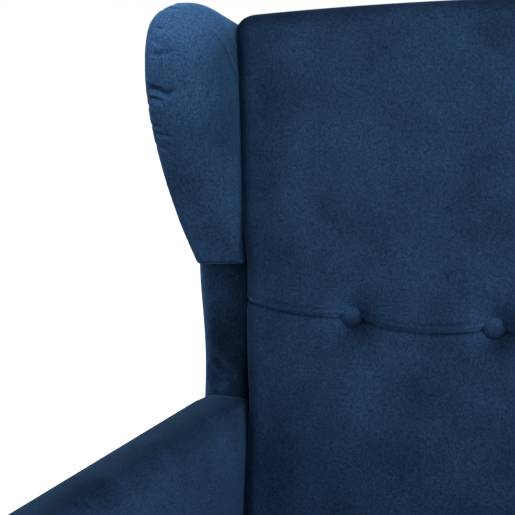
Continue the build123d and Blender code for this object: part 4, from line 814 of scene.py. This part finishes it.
# ---------------------------------------------------------------- arms
# Each arm is a plywood board on a timber sill, padded on top and wrapped in velvet down to the
# base. A sewn front panel closes it, and its rear edge follows the bolster's slope.
ARM_INNER_ROLL = 0.026
ARM_OUTER_ROLL = 0.053
ARM_FRONT_ROLL = 0.010
ARM_MESH_SQUARE = 0.007
ARM_SWELL = 0.005
ARM_SEAM_INSET = 0.016
ARM_SEAM_SINK = 0.0022
ARM_SEAM_WIDTH = 0.0035
ARM_SQUARE_END = 0.035
ARM_SQUARENESS = 0.8  # of its inner edge where it meets the bolster
ARM_EASE = 0.002  # room for the cushion to pass
ARM_REAR_DEPTH = 0.0307
arm_low, arm_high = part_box("left_arm_pad")
arm_inner = arm_high.x - ARM_EASE
step_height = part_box("rear_base_panel")[1].z


def arm_rear(height):
    """Y of the arm's rear edge at a height: just in front of the bolster."""
    return on_back([0], [up_of(height)], [0])[0][1] + ARM_REAR_DEPTH / math.cos(RECLINE)


def bevel_edges(piece, radius, chosen, segments=5):
    """Rounds the edges for which chosen(the edge's two ends) is true."""
    activate(piece)
    bpy.ops.object.mode_set(mode="EDIT")
    bpy.ops.mesh.select_mode(type="EDGE")
    bpy.ops.mesh.select_all(action="DESELECT")
    bpy.ops.object.mode_set(mode="OBJECT")
    spots = points_of(piece)
    for edge in piece.data.edges:
        edge.select = bool(chosen(spots[list(edge.vertices)]))
    bpy.ops.object.mode_set(mode="EDIT")
    bpy.ops.mesh.bevel(offset=radius, segments=segments, profile=0.5, affect="EDGES")
    bpy.ops.object.mode_set(mode="OBJECT")


def on_inner_top(ends):
    """The arm's long inner top edge."""
    return ends[:, 2].min() > arm_high.z - 1e-4 and ends[:, 0].min() > arm_inner - 1e-4


def on_outer_top(ends):
    """The arm's long outer top edge."""
    return ends[:, 2].min() > arm_high.z - 1e-4 and ends[:, 0].max() < arm_low.x + 1e-4


def round_front(ends):
    """The edges round the arm's front panel, apart from its foot."""
    return ends[:, 1].max() < arm_low.y + 1e-4 and ends[:, 2].max() > arm_low.z + 0.001


arm_outline = [
    (arm_low.y, arm_low.z),
    (arm_low.y, arm_high.z),
    (arm_rear(arm_high.z), arm_high.z),
    (arm_rear(step_height), step_height),
    (arm_high.y, step_height),
    (arm_high.y, arm_low.z),
]
arm = slab(
    "left_arm_cover",
    [(arm_low.x, y, z) for y, z in arm_outline],
    (arm_inner - arm_low.x, 0, 0),
)
bevel_edges(arm, ARM_INNER_ROLL, on_inner_top, segments=7)
bevel_edges(arm, ARM_OUTER_ROLL, on_outer_top, segments=6)
bevel_edges(arm, ARM_FRONT_ROLL, round_front)
remesh(arm, ARM_MESH_SQUARE)
fill(arm, ARM_SWELL, np.clip((arm_low.z + 0.03 - points_of(arm)[:, 2]) / 0.02, 0, 1))
subdivide(arm)
points, normals = points_of(arm), normals_of(arm)
from_seam = points[:, 1] - arm_low.y - ARM_SEAM_INSET
groove = ARM_SEAM_SINK * np.exp(-((from_seam / ARM_SEAM_WIDTH) ** 2))
points -= normals * groove[:, None]
# Where the arm meets the bolster its padding is pulled square, so that no gap opens beside it.
roll_middle = np.array((arm_inner - ARM_INNER_ROLL, 0, arm_high.z - ARM_INNER_ROLL))
out = points - roll_middle
longest = np.maximum(np.maximum(out[:, 0], out[:, 2]), 1e-4)
rolled = (out[:, 0] > 0) & (out[:, 2] > 0)
from_rear = np.array([arm_rear(height) for height in points[:, 2]]) - points[:, 1]
squared = ARM_SQUARENESS * np.exp(-((from_rear / ARM_SQUARE_END) ** 2)) * rolled
stretch = 1 + squared * (np.hypot(out[:, 0], out[:, 2]) / longest - 1)
points = roll_middle + out * np.column_stack((stretch, np.ones(len(out)), stretch))
set_points(arm, points)
right_arm = mirrored(arm, "right_arm_cover")
finish_pad(arm, base_velvet, "base", "left_arm_pad")
finish_pad(right_arm, base_velvet, "base", "right_arm_pad")

# ---------------------------------------------------------------- seat cushion
# Foam on zigzag springs in a sewn cover with a rolled front. It glides with the seat frame.
SEAT_SIDE_ROLL = 0.014
SEAT_SQUARE = 0.007
SEAT_SWELL = 0.010
SEAT_SEAM_DROP = 0.062
SEAT_SEAM_SINK = 0.003
SEAT_SEAM_WIDTH = 0.003
seat_low, seat_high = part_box("seat_cushion")
seat = side_pad(
    "seat_cushion",
    "seat_cushion_cover",
    SEAT_SQUARE,
    seat_low.x,
    seat_high.x,
    SEAT_SIDE_ROLL,
    SEAT_SIDE_ROLL,
    open_height=seat_low.z,
)
points = points_of(seat)
fill(seat, SEAT_SWELL, np.clip((seat_low.z + 0.02 - points[:, 2]) / 0.02, 0, 1))
points = points_of(seat)
points[:, 0] = np.clip(points[:, 0], seat_low.x, seat_high.x)
set_points(seat, points)
subdivide(seat)
points, normals = points_of(seat), normals_of(seat)
from_seam = points[:, 2] - seat_high.z + SEAT_SEAM_DROP
in_front = points[:, 1] < seat_low.y + 0.02
groove = SEAT_SEAM_SINK * np.exp(-((from_seam / SEAT_SEAM_WIDTH) ** 2)) * in_front
set_points(seat, points - normals * groove[:, None])
finish_pad(seat, base_velvet, "seat", "seat_cushion")

# ---------------------------------------------------------------- footrest cushion
# A board with foam and velvet closes the front below the seat and lifts out as the footrest.
FOOTREST_SQUARE = 0.006
FOOTREST_SWELL = 0.006
FOOTREST_ROLL = 0.010
FOOTREST_REAR_ROLL = 0.002
rest_low, rest_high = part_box("footrest_cushion")
rest = side_pad(
    "footrest_cushion",
    "footrest_cushion_cover",
    FOOTREST_SQUARE,
    rest_low.x,
    rest_high.x,
    (FOOTREST_ROLL, FOOTREST_ROLL, FOOTREST_REAR_ROLL),
    (FOOTREST_ROLL, FOOTREST_ROLL, FOOTREST_REAR_ROLL),
)
fill(rest, FOOTREST_SWELL, np.clip((points_of(rest)[:, 1] - rest_high.y + 0.012) / 0.008, 0, 1))
subdivide(rest)
finish_pad(rest, base_velvet, "footrest", "footrest_cushion")

# ---------------------------------------------------------------- rear covers
# Velvet panels close the back and the base behind. Each is stretched over card and wadding and
# tacked blind along its edges. A padded strip caps the back between the wings.
PANEL_ROLL = 0.0012
PANEL_LAP = 0.0008  # how far the back panel covers the frame at each side
PANEL_RISE = 0.0016  # and at its top
BASE_PANEL_LAP = 0.0006
WADDING_SWELL = 0.003
CAP_ROLL = 0.006
wing_inner_half = 0.0005 - wing_inner  # the back panel is tucked in beside the wings


def widened(panel, heights, halves):
    """Scales a panel across to the half widths given at some heights."""
    points = points_of(panel)
    points[:, 0] *= np.interp(points[:, 2], heights, halves) / points[:, 0].max()
    set_points(panel, points)


def rear_panel(node, name, square, roll):
    """A thin pad over the CAD panel of this name."""
    low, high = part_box(node)
    return side_pad(node, name, square, low.x, high.x, roll, roll)


back_panel = rear_panel("back_panel", "back_panel_cover", 0.006, PANEL_ROLL)
panel_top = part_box("back_panel")[1]
top_half = wing_inner_half + wing_lean * (panel_top.z - wing_foot)
below_wings = panel_top.x + PANEL_LAP
widened(
    back_panel,
    [wing_foot - 0.001, wing_foot + 0.001, panel_top.z],
    [below_wings, wing_inner_half, top_half],
)
points = points_of(back_panel)
points[:, 2] += PANEL_RISE * np.clip((points[:, 2] - panel_top.z + 0.02) / 0.02, 0, 1)
set_points(back_panel, points)
fill(back_panel, WADDING_SWELL)
subdivide(back_panel)
finish_pad(back_panel, back_velvet, "back", "back_panel")

top_cover = rear_panel("back_top_padding", "back_top_cover", 0.005, CAP_ROLL)
fill(top_cover, WADDING_SWELL)
subdivide(top_cover)
finish_pad(top_cover, back_velvet, "back", "back_top_padding")

rear_base = rear_panel("rear_base_panel", "rear_base_cover", 0.004, PANEL_ROLL)
widened(rear_base, [0, 1], [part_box("rear_base_panel")[1].x + BASE_PANEL_LAP] * 2)
fill(rear_base, 0.002)
subdivide(rear_base)
finish_pad(rear_base, base_velvet, "base", "rear_base_panel")

# ---------------------------------------------------------------- linings and webbing
# A thin black non-woven cloth is stapled under the base as a dust cover, and a cotton one lies
# over the seat springs under the foam. Both are stretched flat and sag a little.
LINING_BLACK = srgb("#1B1C1E")
LINING_PALE = srgb("#B9B2A2")
FIBRE = 0.0025  # length of the matted fibres
LINING_SAG = 0.0008


def lining_cloth(name, colour):
    """Thin cloth of matted fibres: pale specks and a fine fuzz of bumps."""
    material, tree = new_material(name)
    place = add_node(tree, "ShaderNodeTexCoord")
    fibres = add_node(
        tree, "ShaderNodeTexNoise", {"Vector": place.outputs["Object"]}, Scale=1 / FIBRE, Detail=6.0
    )
    shade = add_node(tree, "ShaderNodeMath", {0: fibres.outputs[0]}, operation="MULTIPLY_ADD")
    shade.inputs[1].default_value, shade.inputs[2].default_value = 0.8, 0.6
    matted = add_node(tree, "ShaderNodeHueSaturation", {"Value": shade.outputs[0]}, Color=colour)
    fuzz = add_node(
        tree, "ShaderNodeBump", {"Height": fibres.outputs[0]}, Strength=0.4, Distance=0.0004
    )
    shader = add_node(
        tree,
        "ShaderNodeBsdfPrincipled",
        {"Base Color": matted.outputs[0], "Normal": fuzz.outputs[0]},
        Roughness=0.9,
        Specular_IOR_Level=0.2,
    )
    add_node(tree, "ShaderNodeOutputMaterial", {"Surface": shader.outputs[0]})
    return material


for node, body, colour, rests_on in (
    ("dust_cover", "base", LINING_BLACK, ("base_side_rails", "front_cross_rail")),
    ("spring_cover", "seat", LINING_PALE, ("seat_side_rails", "seat_springs")),
):
    low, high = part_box(node)
    wide, long = high.x - low.x, high.y - low.y
    bpy.ops.object.select_all(action="DESELECT")
    bpy.ops.mesh.primitive_grid_add(x_subdivisions=40, y_subdivisions=48, size=1)
    lining = bpy.context.object
    lining.name = node + "_cloth"
    points = points_of(lining)
    hang = (1 - (2 * points[:, 0]) ** 2) * (1 - (2 * points[:, 1]) ** 2)
    middle = (low + high) / 2
    spread = points * (wide, long, 0) + tuple(middle)
    spread[:, 2] = high.z - 0.0002 - LINING_SAG * hang
    set_points(lining, spread)
    activate(lining)
    wall = lining.modifiers.new("thickness", "SOLIDIFY")
    wall.thickness = 0.0006
    wall.offset = -1
    bpy.ops.object.modifier_apply(modifier=wall.name)
    bpy.ops.object.shade_smooth()
    lining.data.materials.append(lining_cloth(node + "_lining", colour))
    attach(lining, body)
    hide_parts(node)

# Elastic webbing: polypropylene tapes with a woven rib, stapled across the back's frame.
WEBBING_GREY = srgb("#3A3B38")
WEBBING_DARK = srgb("#191A19")
TAPE_RIB = 0.003
webbing, tree = new_material("polypropylene_webbing")
place = add_node(tree, "ShaderNodeTexCoord")
bands = {"Scale": 1 / TAPE_RIB / (2 * math.pi), "Distortion": 0.4}
spot = {"Vector": place.outputs["Object"]}
weft = add_node(tree, "ShaderNodeTexWave", spot, bands_direction="Z", **bands)
warp = add_node(tree, "ShaderNodeTexWave", spot, bands_direction="X", **bands)
woven = add_node(tree, "ShaderNodeMath", {0: weft.outputs[1], 1: warp.outputs[1]}, operation="MULTIPLY")
tape = add_node(tree, "ShaderNodeMix", {0: woven.outputs[0]}, data_type="RGBA")
tape.inputs[6].default_value, tape.inputs[7].default_value = WEBBING_DARK, WEBBING_GREY
ribs = add_node(tree, "ShaderNodeBump", {"Height": woven.outputs[0]}, Strength=0.5, Distance=0.0005)
shader = add_node(
    tree,
    "ShaderNodeBsdfPrincipled",
    {"Base Color": tape.outputs[2], "Normal": ribs.outputs[0]},
    Roughness=0.7,
)
add_node(tree, "ShaderNodeOutputMaterial", {"Surface": shader.outputs[0]})


def give(finish, *nodes):
    """Gives CAD nodes their finish."""
    for node in nodes:
        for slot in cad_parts[node].material_slots:
            slot.material = finish


give(webbing, "back_webbing")
give(base_velvet, "seat_front_rail")  # the seat's cover is drawn down over this rail

# ---------------------------------------------------------------- legs and glides
# Turned beech legs, stained dark brown and sealed with satin lacquer. Their grain runs up the leg,
# with the short dark flecks that beech shows. Each stands on a black nylon glide.
GRAIN = 0.0035  # between darker rings
FLECK = 0.0011


def wood(name, light, dark, grain, fleck, along, roughness, coat=0.0):
    """Wood whose grain runs along one axis, a name of X, Y or Z."""
    material, tree = new_material(name)
    place = add_node(tree, "ShaderNodeTexCoord")
    stretched = add_node(tree, "ShaderNodeMapping", {"Vector": place.outputs["Object"]})
    stretched.inputs["Scale"].default_value = [
        1 / grain / (14 if axis == along else 1) for axis in "XYZ"
    ]
    rings = add_node(
        tree, "ShaderNodeTexNoise", {"Vector": stretched.outputs[0]}, Scale=0.45, Detail=5.0, Distortion=0.6
    )
    short = add_node(tree, "ShaderNodeMapping", {"Vector": place.outputs["Object"]})
    short.inputs["Scale"].default_value = [1 / fleck / (6 if axis == along else 1) for axis in "XYZ"]
    flecks = add_node(tree, "ShaderNodeTexNoise", {"Vector": short.outputs[0]}, Scale=0.5, Detail=2.0)
    both = add_node(
        tree, "ShaderNodeMath", {0: rings.outputs[0], 1: flecks.outputs[0]}, operation="MULTIPLY"
    )
    spread = add_node(tree, "ShaderNodeMapRange", {"Value": both.outputs[0]})
    spread.inputs["From Min"].default_value = 0.14
    spread.inputs["From Max"].default_value = 0.38
    colour = add_node(tree, "ShaderNodeMix", {0: spread.outputs[0]}, data_type="RGBA")
    colour.inputs[6].default_value, colour.inputs[7].default_value = dark, light
    pores = add_node(
        tree, "ShaderNodeBump", {"Height": both.outputs[0]}, Strength=0.25, Distance=0.0003
    )
    shader = add_node(
        tree,
        "ShaderNodeBsdfPrincipled",
        {"Base Color": colour.outputs[2], "Normal": pores.outputs[0]},
        Roughness=roughness,
        Coat_Weight=coat,
        Coat_Roughness=0.25,
    )
    add_node(tree, "ShaderNodeOutputMaterial", {"Surface": shader.outputs[0]})
    return material


stained_beech = wood(
    "stained_beech", srgb("#4F2F1C"), srgb("#26160D"), GRAIN, FLECK, "Z", roughness=0.45, coat=0.15
)
give(stained_beech, "front_legs", "rear_legs")

glide_nylon, tree = new_material("moulded_nylon")
place = add_node(tree, "ShaderNodeTexCoord")
moulded = add_node(tree, "ShaderNodeTexNoise", {"Vector": place.outputs["Object"]}, Scale=1200.0)
grain = add_node(
    tree, "ShaderNodeBump", {"Height": moulded.outputs[0]}, Strength=0.2, Distance=0.0002
)
shader = add_node(
    tree,
    "ShaderNodeBsdfPrincipled",
    {"Normal": grain.outputs[0]},
    Base_Color=srgb("#161617"),
    Roughness=0.45,
)
add_node(tree, "ShaderNodeOutputMaterial", {"Surface": shader.outputs[0]})
give(glide_nylon, "leg_glides")

# ---------------------------------------------------------------- frame
# The frame is planed pine, glued and stapled, with boards of birch plywood where it is broad. The
# timber runs across the chair in its rails and up it in its posts.
PINE_LIGHT = srgb("#D9BE93")
PINE_DARK = srgb("#B38D5C")
pine = {
    axis: wood(f"planed_pine_{axis.lower()}", PINE_LIGHT, PINE_DARK, 0.006, 0.0015, axis, roughness=0.65)
    for axis in "XYZ"
}
give(pine["X"], "front_cross_rail", "rear_cross_rail", "seat_rear_rail")
give(pine["X"], "back_lower_rail", "back_middle_rail", "back_top_rail")
give(pine["Y"], "base_side_rails", "seat_side_rails", "arm_sills")
give(pine["Z"], "back_posts", "wing_blocks")
birch_plywood = wood(
    "birch_plywood", srgb("#DCC6A0"), srgb("#C2A272"), 0.009, 0.0012, "Z", roughness=0.6
)
give(birch_plywood, "arm_boards", "wing_boards", "footrest_board")

# ---------------------------------------------------------------- mechanism
# The swing plates and links are pressed steel with a black powder coat, which dries with a fine
# orange peel. Pins, rivets, bolts and screws are zinc plated.
PEEL = 0.0016


def steel(name, colour, metallic, roughness, peel, smears):
    """Steel with a coat: peel is the height of its ripples, smears how much its gloss varies."""
    material, tree = new_material(name)
    place = add_node(tree, "ShaderNodeTexCoord")
    ripple = add_node(
        tree, "ShaderNodeTexNoise", {"Vector": place.outputs["Object"]}, Scale=1 / PEEL, Detail=2.0
    )
    wear = add_node(
        tree, "ShaderNodeTexNoise", {"Vector": place.outputs["Object"]}, Scale=90.0, Detail=4.0
    )
    gloss = add_node(tree, "ShaderNodeMath", {0: wear.outputs[0]}, operation="MULTIPLY_ADD")
    gloss.inputs[1].default_value, gloss.inputs[2].default_value = smears, roughness - smears / 2
    skin = add_node(tree, "ShaderNodeBump", {"Height": ripple.outputs[0]}, Strength=0.3, Distance=peel)
    shader = add_node(
        tree,
        "ShaderNodeBsdfPrincipled",
        {"Roughness": gloss.outputs[0], "Normal": skin.outputs[0]},
        Base_Color=colour,
        Metallic=metallic,
    )
    add_node(tree, "ShaderNodeOutputMaterial", {"Surface": shader.outputs[0]})
    return material


powder_coat = steel("black_powder_coat", srgb("#1A1B1D"), 0.0, 0.5, 0.0003, 0.15)
zinc_plate = steel("zinc_plated_steel", srgb("#B8BDC4"), 1.0, 0.32, 0.0001, 0.2)
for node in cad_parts:
    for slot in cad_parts[node].material_slots:
        if slot.material.name == "painted_steel":
            slot.material = powder_coat
        elif slot.material.name == "zinc_steel":
            slot.material = zinc_plate
